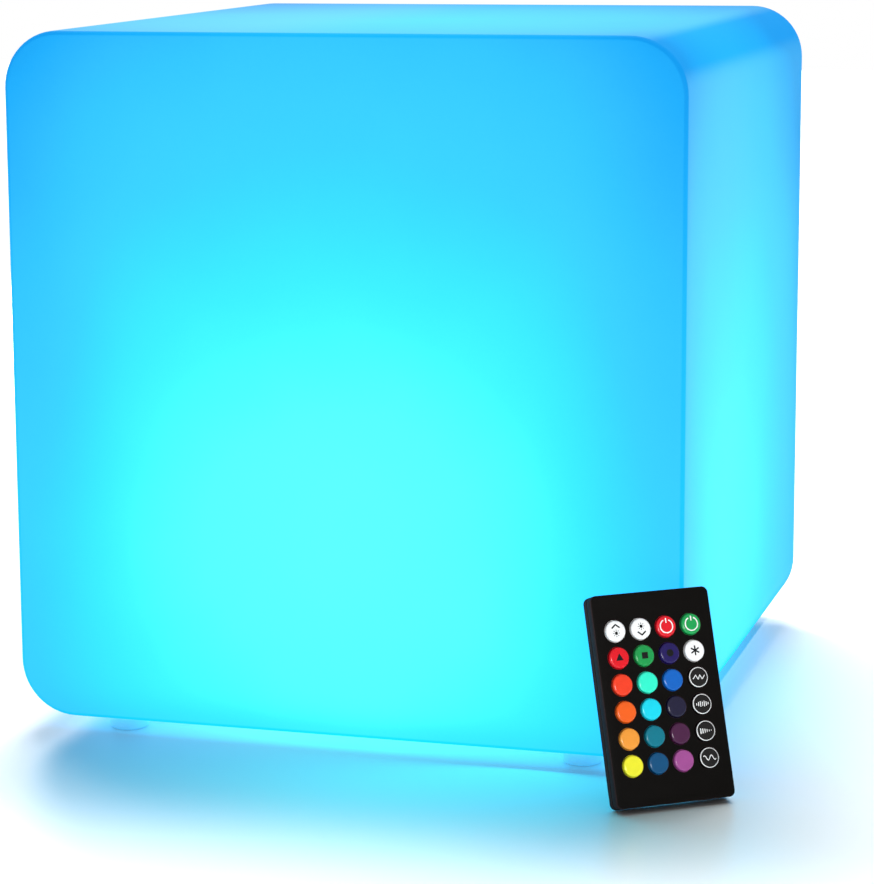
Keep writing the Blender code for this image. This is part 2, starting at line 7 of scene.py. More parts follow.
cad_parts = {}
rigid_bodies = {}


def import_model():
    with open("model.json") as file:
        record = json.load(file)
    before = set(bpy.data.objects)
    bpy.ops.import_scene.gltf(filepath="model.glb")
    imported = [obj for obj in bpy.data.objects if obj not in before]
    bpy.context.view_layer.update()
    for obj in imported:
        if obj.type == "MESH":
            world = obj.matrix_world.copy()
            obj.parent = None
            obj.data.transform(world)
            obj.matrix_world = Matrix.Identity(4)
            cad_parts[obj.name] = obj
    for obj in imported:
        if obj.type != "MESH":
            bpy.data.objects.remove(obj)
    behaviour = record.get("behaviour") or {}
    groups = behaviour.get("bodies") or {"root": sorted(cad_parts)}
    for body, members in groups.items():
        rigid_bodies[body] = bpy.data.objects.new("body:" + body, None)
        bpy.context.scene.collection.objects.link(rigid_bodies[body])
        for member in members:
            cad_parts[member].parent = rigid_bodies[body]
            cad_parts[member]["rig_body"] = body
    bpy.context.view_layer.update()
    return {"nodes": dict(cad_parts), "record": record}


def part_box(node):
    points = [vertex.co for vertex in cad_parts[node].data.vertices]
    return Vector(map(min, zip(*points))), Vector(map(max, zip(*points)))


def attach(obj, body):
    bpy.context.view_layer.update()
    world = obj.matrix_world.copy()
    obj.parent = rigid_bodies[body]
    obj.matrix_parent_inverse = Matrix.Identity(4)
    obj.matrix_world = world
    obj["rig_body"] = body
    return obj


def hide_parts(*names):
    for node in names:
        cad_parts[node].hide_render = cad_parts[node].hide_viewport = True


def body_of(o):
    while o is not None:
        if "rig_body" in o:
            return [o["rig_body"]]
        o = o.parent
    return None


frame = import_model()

NODES = frame["nodes"]

# ------------------------------------------------------------------ dimensions
# the same driving sizes as the CAD, in metres
CUBE_W, CUBE_D, CUBE_H, FOOT_H = 0.2965, 0.2875, 0.3000, 0.0065
EDGE_R, RIM_R, WALL = 0.0245, 0.0024, 0.0040
Z0, Z1 = FOOT_H, FOOT_H + CUBE_H
ZC = (Z0 + Z1) / 2
FOOT_R, FOOT_X, FOOT_Y, FOOT_SEAT = 0.0085, 0.103, 0.1295, 0.0010
NECK_R, NECK_OUT, NECK_TOP, LEDGE_R = 0.0515, 0.0575, 0.0200, 0.0483
LEDGE_Z, LUG_Z, LUG_R = (0.0071, 0.0104), (0.0108, 0.0138), 0.0508
LEDGE_HALF, LUG_HALF = 29.0, 21.5
BASE_Z, FLANGE_R, FLANGE_TOP = 0.0010, 0.0570, 0.0042
TUBE_RO, TUBE_RI, TUBE_TOP = 0.0475, 0.0445, 0.0534
GRIP_BAR, WELL_X, WELL_Y, WELL_TOP, WELL_T = 0.0120, 0.0360, 0.0190, 0.0105, 0.0020
WELL_MID = GRIP_BAR / 2 + WELL_Y / 2
BUTTON_X = PLUG_X = 0.0095
RM_W, RM_H, RM_T, RM_CORNER, RM_SPLIT, RM_WALL, RM_FRONT = 0.0520, 0.0860, 0.0085, 0.0026, 0.0046, 0.0015, 0.0012
RM_POS, RM_TURN, RM_LEAN = (0.1548, -0.18456, 0.00275), radians(36.07), radians(-20.13)
KEY_R, KEY_HOLE_R, KEY_FLANGE_R = 0.0043, 0.00462, 0.0050
KEY_X0, KEY_Z0, KEY_DX, KEY_DZ, KEY_RISE = -0.01715, 0.0710, 0.0111, 0.0109, 0.0009
TRAY_W, TRAY_H = 0.0240, 0.0270
REMOTE = Matrix.Translation(RM_POS) @ Matrix.Rotation(RM_TURN, 4, "Z") @ Matrix.Rotation(RM_LEAN, 4, "X")

KEYS = [
    ["key_brightness_up", "key_brightness_down", "key_power_off", "key_power_on"],
    ["key_red", "key_green", "key_blue", "key_white"],
    ["key_vermilion", "key_aqua", "key_azure", "key_mode_flash"],
    ["key_orange", "key_cyan", "key_indigo", "key_mode_strobe"],
    ["key_amber", "key_teal", "key_plum", "key_mode_fade"],
    ["key_yellow", "key_steel_blue", "key_violet", "key_mode_smooth"],
]
KEY_COLOURS = {
    "key_brightness_up": (0.97, 0.97, 0.97), "key_brightness_down": (0.97, 0.97, 0.97),
    "key_power_off": (0.78, 0.010, 0.022), "key_power_on": (0.012, 0.36, 0.085),
    "key_red": (0.80, 0.008, 0.018), "key_green": (0.012, 0.33, 0.075),
    "key_blue": (0.016, 0.008, 0.105), "key_white": (0.97, 0.97, 0.97),
    "key_vermilion": (0.95, 0.055, 0.018), "key_aqua": (0.035, 0.92, 0.62),
    "key_azure": (0.004, 0.130, 0.55), "key_mode_flash": (0.010, 0.009, 0.009),
    "key_orange": (0.97, 0.13, 0.012), "key_cyan": (0.008, 0.72, 0.90),
    "key_indigo": (0.014, 0.012, 0.040), "key_mode_strobe": (0.010, 0.009, 0.009),
    "key_amber": (0.98, 0.36, 0.045), "key_teal": (0.003, 0.200, 0.28),
    "key_plum": (0.075, 0.014, 0.060), "key_mode_fade": (0.010, 0.009, 0.009),
    "key_yellow": (0.98, 0.92, 0.035), "key_steel_blue": (0.003, 0.085, 0.22),
    "key_violet": (0.40, 0.085, 0.32), "key_mode_smooth": (0.010, 0.009, 0.009),
}


# ------------------------------------------------------------- node materials
class Graph:
    """A small writer for one Principled material."""

    def __init__(self, name):
        self.m = bpy.data.materials.new("look_" + name)
        self.m.use_nodes = True
        self.t = self.m.node_tree
        self.p = self.t.nodes["Principled BSDF"]
        self.out = self.t.nodes["Material Output"]
        self.col = 0

    def node(self, kind, **props):
        n = self.t.nodes.new(kind)
        self.col += 1
        n.location = (-220 * (self.col % 8) - 200, 300 - 160 * (self.col // 8))
        for k, v in props.items():
            setattr(n, k, v)
        return n

    def link(self, a, b):
        self.t.links.new(a, b)

    def put(self, sock, value):
        if isinstance(value, bpy.types.NodeSocket):
            self.link(value, sock)
        else:
            sock.default_value = value

    def math(self, op, *args, clamp=False):
        n = self.node("ShaderNodeMath", operation=op, use_clamp=clamp)
        for i, a in enumerate(args):
            self.put(n.inputs[i], a)
        return n.outputs[0]

    def vmath(self, op, *args):
        n = self.node("ShaderNodeVectorMath", operation=op)
        for i, a in enumerate(args):
            self.put(n.inputs[i], a)
        return n.outputs["Value"] if op in ("LENGTH", "DISTANCE", "DOT_PRODUCT") else n.outputs["Vector"]

    def coords(self, what="Object"):
        return self.node("ShaderNodeTexCoord").outputs[what]

    def xyz(self, vec):
        n = self.node("ShaderNodeSeparateXYZ")
        self.link(vec, n.inputs[0])
        return n.outputs

    def noise(self, vec, scale, detail=3.0, rough=0.55, out="Fac"):
        n = self.node("ShaderNodeTexNoise")
        self.link(vec, n.inputs["Vector"])
        n.inputs["Scale"].default_value = scale
        n.inputs["Detail"].default_value = detail
        n.inputs["Roughness"].default_value = rough
        return n.outputs[out]

    def ramp(self, fac, stops, mode="LINEAR"):
        n = self.node("ShaderNodeValToRGB")
        n.color_ramp.interpolation = mode
        e = n.color_ramp.elements
        while len(e) > 1:
            e.remove(e[-1])
        e[0].position, e[0].color = stops[0][0], (*stops[0][1], 1)
        for pos, c in stops[1:]:
            x = e.new(pos)
            x.color = (*c, 1)
        self.put(n.inputs["Fac"], fac)
        return n.outputs["Color"]

    def mix(self, fac, a, b, blend="MIX"):
        n = self.node("ShaderNodeMix", data_type="RGBA", blend_type=blend)
        self.put(n.inputs["Factor"], fac)
        for sock, v in ((n.inputs[6], a), (n.inputs[7], b)):
            if isinstance(v, tuple):
                sock.default_value = (*v[:3], 1)
            else:
                self.link(v, sock)
        return n.outputs[2]

    def bump(self, height, strength, distance=0.0002, normal=None):
        n = self.node("ShaderNodeBump")
        n.inputs["Strength"].default_value = strength
        n.inputs["Distance"].default_value = distance
        self.link(height, n.inputs["Height"])
        if normal is not None:
            self.link(normal, n.inputs["Normal"])
        return n.outputs["Normal"]

    def map_range(self, v, a, b, c, d, smooth=False):
        n = self.node("ShaderNodeMapRange")
        n.interpolation_type = "SMOOTHSTEP" if smooth else "LINEAR"
        for i, x in enumerate((v, a, b, c, d)):
            self.put(n.inputs[i], x)
        return n.outputs[0]


def moulded(name, colour, rough=0.45, vary=0.10, grain=900.0, bump=0.12, dist=0.00008, specular=0.5, edge=None):
    """Moulded plastic or rubber: slight colour drift, fine grain, uneven gloss."""
    g = Graph(name)
    v = g.coords()
    drift = g.noise(v, 38.0, 3.0)
    dark = tuple(max(c * (1 - vary), 0) for c in colour)
    light = tuple(min(c * (1 + vary) + 0.002, 1) for c in colour)
    g.link(g.mix(drift, dark, light), g.p.inputs["Base Color"])
    fine = g.noise(v, grain, 4.0, 0.6)
    g.link(g.map_range(fine, 0.25, 0.75, max(rough - 0.07, 0.03), rough + 0.07), g.p.inputs["Roughness"])
    g.link(g.bump(fine, bump, dist), g.p.inputs["Normal"])
    g.p.inputs["Specular IOR Level"].default_value = specular
    return g.m


def metal(name, colour, rough=0.3):
    g = Graph(name)
    v = g.coords()
    n1 = g.noise(v, 260.0, 4.0)
    g.link(g.mix(n1, tuple(c * 0.82 for c in colour), colour), g.p.inputs["Base Color"])
    g.link(g.map_range(n1, 0.3, 0.7, rough - 0.08, rough + 0.10), g.p.inputs["Roughness"])
    g.link(g.bump(g.noise(v, 1400.0, 2.0), 0.08, 0.00005), g.p.inputs["Normal"])
    g.p.inputs["Metallic"].default_value = 1.0
    return g.m


# light inside the cube: the lit wall is brightest beside the lamp in its base and
# falls off with distance from it; brightness sets the hue, cyan where it is hot
LAMP = (0.0, -0.0353, 0.0869)
GLOW_POWER, GLOW_TOP = 2.2, 1.3
GLOW_STOPS = [
    (0.300, (0.000, 0.300, 0.84)), (0.375, (0.006, 0.380, 0.92)), (0.425, (0.015, 0.423, 0.99)),
    (0.475, (0.022, 0.473, 1.05)), (0.525, (0.025, 0.521, 1.10)), (0.575, (0.030, 0.554, 1.16)),
    (0.625, (0.034, 0.585, 1.23)), (0.675, (0.035, 0.616, 1.31)), (0.725, (0.035, 0.665, 1.39)),
    (0.775, (0.036, 0.715, 1.47)), (0.825, (0.037, 0.776, 1.55)), (0.875, (0.040, 0.841, 1.62)),
    (0.925, (0.048, 0.925, 1.70)), (0.975, (0.067, 1.060, 1.78)), (1.025, (0.088, 1.350, 1.85)),
    (1.100, (0.104, 1.800, 1.95)), (1.250, (0.120, 2.200, 2.10)),
]


def glow_material():
    g = Graph("glow_polyethylene")
    v = g.coords()
    x, y, z = g.xyz(v)
    nx, ny, nz = (g.math("ABSOLUTE", c) for c in g.xyz(g.coords("Normal")))
    r = g.vmath("DISTANCE", v, LAMP)
    s = g.math("SUBTRACT", 1.543, g.math("MULTIPLY", r, 4.152))
    ax = g.math("ABSOLUTE", x)
    ex = g.math("SUBTRACT", CUBE_W / 2, ax)
    ey = g.math("SUBTRACT", CUBE_D / 2, g.math("ABSOLUTE", y))
    ez = g.math("SUBTRACT", z, Z0)

    def bell(*terms):
        """exp of minus the sum of ((value - middle) / width) squared"""
        total = None
        for value, middle, width in terms:
            q = g.math("DIVIDE", g.math("SUBTRACT", value, middle), width)
            q = g.math("MULTIPLY", q, q)
            total = q if total is None else g.math("ADD", total, q)
        return g.math("EXPONENT", g.math("MULTIPLY", total, -1.0))

    def dim(s, depth, *terms):
        return g.math("SUBTRACT", s, g.math("MULTIPLY", bell(*terms), depth))

    # thicker wall along the moulding's upright edges and bottom edges passes less light
    s = g.math("MULTIPLY", s, g.math("SUBTRACT", 1.0, g.math("MULTIPLY", bell((ex, 0.0, 0.032), (ey, 0.0, 0.032)), 0.13)))
    s = g.math("MULTIPLY", s, g.math("SUBTRACT", 1.0, g.math("MULTIPLY", bell((ez, 0.0, 0.009), (ey, 0.0, 0.011)), 0.09)))
    # the lamp's light is painted unevenly here: dimmer in a band high on the walls, towards the outer parts of the
    # front and back at mid height and towards the back of the sides, brighter near the middle of the top
    s = dim(s, 0.028, (z, 0.240, 0.030))
    s = dim(s, 0.075, (ax, 0.128, 0.030), (z, 0.160, 0.075), (ey, 0.0, 0.010))
    s = dim(s, 0.030, (y, 0.085, 0.035), (ex, 0.0, 0.010))
    s = dim(s, -0.075, (x, 0.010, 0.065), (y, -0.020, 0.075), (ez, CUBE_H, 0.010))
    # flat faces against rounded edges
    flat = g.map_range(g.math("MAXIMUM", nx, g.math("MAXIMUM", ny, nz)), 0.910, 0.9988, 0.0, 1.0, smooth=True)
    s = g.math("SUBTRACT", s, g.math("MULTIPLY", g.math("SUBTRACT", 1.0, flat), 0.060))
    # uneven wall thickness: broad soft clouds and a faint fine grain
    s = g.math("ADD", s, g.math("MULTIPLY", g.math("SUBTRACT", g.noise(v, 14.0, 2.0), 0.5), 0.050))
    s = g.math("ADD", s, g.math("MULTIPLY", g.math("SUBTRACT", g.noise(v, 620.0, 3.0), 0.5), 0.018))
    glow = g.ramp(g.math("DIVIDE", s, GLOW_TOP), [(p / GLOW_TOP, tuple(k / GLOW_POWER for k in c)) for p, c in GLOW_STOPS])
    # the rounded edges look through more plastic, which takes out the last of the red
    glow = g.mix(g.math("MULTIPLY", g.math("SUBTRACT", 1.0, flat), 1.0), glow, (0.25, 1.0, 1.0), "MULTIPLY")
    # painted sheen: a pale whitish glow is added on the flat sides and the top in place of the room's reflection there,
    # stronger towards the front of the sides and the left of the top
    side = g.map_range(nx, 0.88, 0.9990, 0.0, 1.0, smooth=True)
    near = g.math("MULTIPLY", side, g.map_range(y, -0.07, 0.06, 1.0, 0.35, smooth=True))
    lid = g.map_range(nz, 0.88, 0.9990, 0.0, 1.0, smooth=True)
    left = g.math("MULTIPLY", lid, g.map_range(x, -0.06, 0.01, 1.0, 0.0, smooth=True))
    upper = g.math("MULTIPLY", side, g.map_range(z, 0.16, 0.25, 0.0, 1.0, smooth=True))
    for mask, painted_sheen in ((side, (0.014, 0.066, 0.0)), (near, (0.036, 0.0, 0.0)), (upper, (0.008, -0.010, 0.0)), (lid, (0.076, 0.100, 0.0)), (left, (0.048, 0.010, 0.0))):
        glow = g.mix(mask, glow, tuple(k / GLOW_POWER for k in painted_sheen), "ADD")
    g.link(glow, g.p.inputs["Emission Color"])
    g.p.inputs["Emission Strength"].default_value = GLOW_POWER
    g.link(g.mix(g.noise(v, 30.0, 2.0), (0.010, 0.060, 0.085), (0.014, 0.075, 0.100)), g.p.inputs["Base Color"])
    fine = g.noise(v, 1500.0, 4.0, 0.6)
    g.link(g.map_range(fine, 0.25, 0.75, 0.62, 0.72), g.p.inputs["Roughness"])
    g.link(g.bump(fine, 0.10, 0.00010), g.p.inputs["Normal"])
    g.p.inputs["Specular IOR Level"].default_value = 0.02
    return g.m


def foot_material():
    g = Graph("clear_silicone")
    v = g.coords()
    z = g.xyz(v)[2]
    # painted glow: the feet are no lamp; their emission, graded with height, stands in for the cube's cyan light
    # carried through the clear silicone, over a cyan-tinted base colour also graded with height
    base = g.ramp(g.math("DIVIDE", z, 0.0072), [(0.0, (0.35, 0.66, 0.85)), (1.0, (0.22, 0.62, 0.90))])
    g.link(base, g.p.inputs["Base Color"])
    g.link(g.ramp(g.math("DIVIDE", z, 0.0072), [(0.0, (0.05, 0.28, 0.45)), (0.8, (0.07, 0.42, 0.62)), (1.0, (0.02, 0.30, 0.50))]),
           g.p.inputs["Emission Color"])
    g.p.inputs["Emission Strength"].default_value = 0.8
    fine = g.noise(v, 900.0, 3.0)
    g.link(g.map_range(fine, 0.2, 0.8, 0.26, 0.40), g.p.inputs["Roughness"])
    g.link(g.bump(fine, 0.08, 0.00008), g.p.inputs["Normal"])
    return g.m


def case_material():
    """Satin black moulding, its narrow sides spark-textured and greyer."""
    g = Graph("remote_case_black")
    v = g.coords()
    across = g.vmath("DOT_PRODUCT", g.coords("Normal"), tuple(REMOTE.col[1][:3]))
    side = g.map_range(g.math("ABSOLUTE", across), 0.55, 0.90, 1.0, 0.0, smooth=True)
    drift = g.noise(v, 60.0, 3.0)
    face = g.mix(drift, (0.0042, 0.0036, 0.0032), (0.0062, 0.0054, 0.0048))
    flank = g.mix(g.noise(v, 1100.0, 4.0, 0.7), (0.022, 0.012, 0.012), (0.062, 0.036, 0.037))
    g.link(g.mix(side, face, flank), g.p.inputs["Base Color"])
    spark = g.noise(v, 2300.0, 4.0, 0.7)
    fine = g.noise(v, 1600.0, 3.0)
    g.link(g.math("ADD", g.map_range(fine, 0.2, 0.8, 0.44, 0.52), g.math("MULTIPLY", side, 0.16)), g.p.inputs["Roughness"])
    height = g.math("ADD", g.math("MULTIPLY", fine, 0.25), g.math("MULTIPLY", g.math("MULTIPLY", spark, side), 1.0))
    g.link(g.bump(height, 0.30, 0.00010), g.p.inputs["Normal"])
    g.p.inputs["Specular IOR Level"].default_value = 0.03
    return g.m


def key_material(name, colour):
    """Glossy dyed key: the colour drifts a little at random."""
    g = Graph(name)
    v = g.coords()
    drift = g.noise(v, 420.0, 2.0)
    dark = tuple(c * 0.90 for c in colour)
    g.link(g.mix(drift, dark, colour), g.p.inputs["Base Color"])
    fine = g.noise(v, 2600.0, 2.0)
    g.link(g.map_range(fine, 0.2, 0.8, 0.14, 0.22), g.p.inputs["Roughness"])
    g.link(g.bump(fine, 0.03, 0.00005), g.p.inputs["Normal"])
    g.p.inputs["Coat Weight"].default_value = 0.12
    g.p.inputs["Coat Roughness"].default_value = 0.08
    g.p.inputs["Specular IOR Level"].default_value = 0.30
    return g.m


def board_material(name, colour, trace):
    """Solder mask over copper traces."""
    g = Graph(name)
    v = g.coords()
    n = g.node("ShaderNodeTexBrick")
    g.link(v, n.inputs["Vector"])
    n.inputs["Scale"].default_value = 190.0
    n.inputs["Mortar Size"].default_value = 0.03
    n.inputs["Color1"].default_value = (*colour, 1)
    n.inputs["Color2"].default_value = (*[c * 0.9 for c in colour], 1)
    n.inputs["Mortar"].default_value = (*trace, 1)
    g.link(n.outputs["Color"], g.p.inputs["Base Color"])
    g.link(g.map_range(g.noise(v, 900.0), 0.2, 0.8, 0.28, 0.40), g.p.inputs["Roughness"])
    g.link(g.bump(n.outputs["Fac"], 0.15, 0.00003), g.p.inputs["Normal"])
    return g.m


MATS = {
    "glow_polyethylene": glow_material(),
    "clear_silicone": foot_material(),
    "housing_white_abs": moulded("housing_white_abs", (0.74, 0.76, 0.76), 0.42, 0.03, 1300.0, 0.14, 0.00008),
    "grey_rubber": moulded("grey_rubber", (0.105, 0.112, 0.12), 0.62, 0.12, 1100.0, 0.2, 0.0001, 0.35),
    "clear_polycarbonate": moulded("clear_polycarbonate", (0.80, 0.88, 0.90), 0.14, 0.02, 500.0, 0.02, 0.00004),
    "white_solder_mask": board_material("white_solder_mask", (0.78, 0.80, 0.78), (0.60, 0.62, 0.58)),
    "green_solder_mask": board_material("green_solder_mask", (0.020, 0.16, 0.07), (0.10, 0.30, 0.12)),
    "black_abs": moulded("black_abs", (0.018, 0.018, 0.020), 0.5, 0.15, 1200.0, 0.15),
    "cell_wrap": moulded("cell_wrap", (0.020, 0.13, 0.36), 0.3, 0.06, 260.0, 0.05, 0.00006),
    "zinc_steel": metal("zinc_steel", (0.60, 0.60, 0.58), 0.30),
    "smoked_epoxy": moulded("smoked_epoxy", (0.012, 0.008, 0.012), 0.14, 0.1, 300.0, 0.02, 0.00004),
    "remote_case_black": case_material(),
    "keypad_silicone": moulded("keypad_silicone", (0.07, 0.07, 0.072), 0.62, 0.1, 900.0, 0.15),
}
for key, colour in KEY_COLOURS.items():
    MATS[key] = key_material(key, colour)
INK_BLACK = moulded("ink_black", (0.006, 0.006, 0.007), 0.50, 0.10, 1800.0, 0.05, 0.00003, 0.12)
INK_WHITE = moulded("ink_white", (0.86, 0.86, 0.86), 0.40, 0.03, 1800.0, 0.05, 0.00003)

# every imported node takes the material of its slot
SLOT = {s["node"]: s["material_slot"] for s in frame["record"]["subparts"]}
for name, ob in NODES.items():
    m = MATS[SLOT[name]]
    if not ob.material_slots:
        ob.data.materials.append(m)
    for sl in ob.material_slots:
        sl.material = m


# --------------------------------------------------------------- mesh helpers
def finish_mesh(name, bm, mat, smooth=40.0, matrix=None, mats=()):
    bmesh.ops.recalc_face_normals(bm, faces=bm.faces)
    me = bpy.data.meshes.new(name)
    bm.to_mesh(me)
    bm.free()
    me.materials.append(mat)
    for m in mats:
        me.materials.append(m)
    if smooth:
        me.shade_smooth()
        me.set_sharp_from_angle(angle=radians(smooth))
    ob = bpy.data.objects.new(name, me)
    bpy.context.scene.collection.objects.link(ob)
    if matrix is not None:
        ob.matrix_world = matrix
    return ob


def rounded_rect(w, h, r, n, cx=0.0, cy=0.0, side=0):
    """Points round a rectangle; side adds points along each straight."""
    pts = []
    corners = [(1, 1), (-1, 1), (-1, -1), (1, -1)]
    for k, (sx, sy) in enumerate(corners):
        ox, oy = cx + sx * (w / 2 - r), cy + sy * (h / 2 - r)
        for i in range(n + 1):
            a = pi / 2 * (k + i / n)
            pts.append((ox + r * cos(a), oy + r * sin(a)))
        if side:
            nx, ny = corners[(k + 1) % 4]
            a = pi / 2 * (k + 1)
            p = pts[-1]
            q = (cx + nx * (w / 2 - r) + r * cos(a), cy + ny * (h / 2 - r) + r * sin(a))
            for i in range(1, side + 1):
                t = i / (side + 1)
                pts.append((p[0] + (q[0] - p[0]) * t, p[1] + (q[1] - p[1]) * t))
    return pts


def circle(r, n, cx=0.0, cy=0.0, turn=0.0):
    return [(cx + r * cos(tau * i / n + turn), cy + r * sin(tau * i / n + turn)) for i in range(n)]


def arc_sector(r0, r1, a0, a1, n):
    out = [(r1 * cos(radians(a0 + (a1 - a0) * i / n)), r1 * sin(radians(a0 + (a1 - a0) * i / n))) for i in range(n + 1)]
    out += [(r0 * cos(radians(a1 - (a1 - a0) * i / n)), r0 * sin(radians(a1 - (a1 - a0) * i / n))) for i in range(n + 1)]
    return out


def add_prism(bm, pts, z0, z1, axis="Z"):
    if axis == "Z":
        verts = [bm.verts.new((x, y, z0)) for x, y in pts]
        step = Vector((0, 0, z1 - z0))
    else:
        verts = [bm.verts.new((x, z0, y)) for x, y in pts]
        step = Vector((0, z1 - z0, 0))
    face = bm.faces.new(verts)
    new = bmesh.ops.extrude_face_region(bm, geom=[face])["geom"]
    bmesh.ops.translate(bm, verts=[v for v in new if isinstance(v, bmesh.types.BMVert)], vec=step)
    return bm


def add_turned(bm, profile, n, centre=(0.0, 0.0), axis="Z"):
    cx, cy = centre

    def at(r, h, a):
        if axis == "Z":
            return (cx + r * cos(a), cy + r * sin(a), h)
        return (cx + r * cos(a), h, cy + r * sin(a))

    rings = []
    for r, h in profile:
        rings.append([bm.verts.new(at(0, h, 0))] if r == 0.0 else [bm.verts.new(at(r, h, tau * i / n)) for i in range(n)])
    closed = len(rings[0]) > 1
    for a, b in (zip(rings, rings[1:] + rings[:1]) if closed else zip(rings, rings[1:])):
        for i in range(n):
            j = (i + 1) % n
            if len(a) == 1:
                bm.faces.new((a[0], b[j], b[i]))
            elif len(b) == 1:
                bm.faces.new((a[i], a[j], b[0]))
            else:
                bm.faces.new((a[i], a[j], b[j], b[i]))
    return bm


def fillet(profile, radii, steps=4):
    """Rounds the corners of an open (radius, height) outline: radii maps a corner's index to its radius."""
    out = []
    for i, p in enumerate(profile):
        rad = radii.get(i, 0.0)
        if rad <= 0 or i in (0, len(profile) - 1):
            out.append(p)
            continue
        p = Vector(p)
        a, b = Vector(profile[i - 1]) - p, Vector(profile[i + 1]) - p
        la, lb = a.length, b.length
        a, b = a.normalized(), b.normalized()
        half = a.angle(b) / 2
        if half < 1e-3 or abs(half - pi / 2) < 1e-3:
            out.append(tuple(p))
            continue
        d = min(rad / max(1e-9, abs(sin(half) / cos(half))), la * 0.49, lb * 0.49)
        rad = d * abs(sin(half) / cos(half))
        c = p + (a + b).normalized() * (rad / sin(half))
        s, e = p + a * d, p + b * d
        a0, a1 = atan2(s.y - c.y, s.x - c.x), atan2(e.y - c.y, e.x - c.x)
        da = (a1 - a0 + pi) % tau - pi
        for k in range(steps + 1):
            t = a0 + da * k / steps
            out.append((c.x + rad * cos(t), c.y + rad * sin(t)))
    return out


_guides = []


def guide(bm, matrix=None):
    """A solid for a Boolean, removed once the Boolean is applied."""
    bmesh.ops.recalc_face_normals(bm, faces=bm.faces)
    me = bpy.data.meshes.new("guide")
    bm.to_mesh(me)
    bm.free()
    ob = bpy.data.objects.new("guide", me)
    bpy.context.scene.collection.objects.link(ob)
    if matrix is not None:
        ob.matrix_world = matrix
    ob.hide_render = True
    _guides.append(ob)
    return ob


def boolean(ob, other, operation):
    m = ob.modifiers.new(operation.lower(), "BOOLEAN")
    m.operation, m.solver, m.object = operation, "EXACT", other


def bake_modifiers(ob, smooth=40.0):
    """Replaces the object's mesh by its evaluated one, and removes the Boolean guides."""
    bpy.context.view_layer.update()
    dg = bpy.context.evaluated_depsgraph_get()
    me = bpy.data.meshes.new_from_object(ob.evaluated_get(dg), preserve_all_data_layers=False, depsgraph=dg)
    old = ob.data
    mats = [m for m in old.materials]
    ob.modifiers.clear()
    ob.data = me
    me.materials.clear()
    for m in mats:
        me.materials.append(m)
    me.name = ob.name
    bpy.data.meshes.remove(old)
    for g_ in _guides:
        gm = g_.data
        bpy.data.objects.remove(g_, do_unlink=True)
        bpy.data.meshes.remove(gm)
    _guides.clear()
    if smooth:
        me.shade_smooth()
        me.set_sharp_from_angle(angle=radians(smooth))
    return ob


def bevel(ob, width, segments=2, angle=35.0):
    m = ob.modifiers.new("bevel", "BEVEL")
    m.width, m.segments, m.limit_method, m.angle_limit = width, segments, "ANGLE", radians(angle)
    m.harden_normals = False
    m.use_clamp_overlap = True


def settle(ob, node):
    """Turns the mesh's own axes to the frame's, and keeps its rolled edges inside the node's box."""
    ob.data.transform(ob.matrix_world)
    ob.matrix_world = Matrix()
    lo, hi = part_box(node)
    for vert in ob.data.vertices:
        vert.co = Vector(min(max(c, a), b) for c, a, b in zip(vert.co, lo, hi))


def place(ob, body, nodes):
    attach(ob, body)
    if nodes:
        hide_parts(*([nodes] if isinstance(nodes, str) else nodes))
    return ob


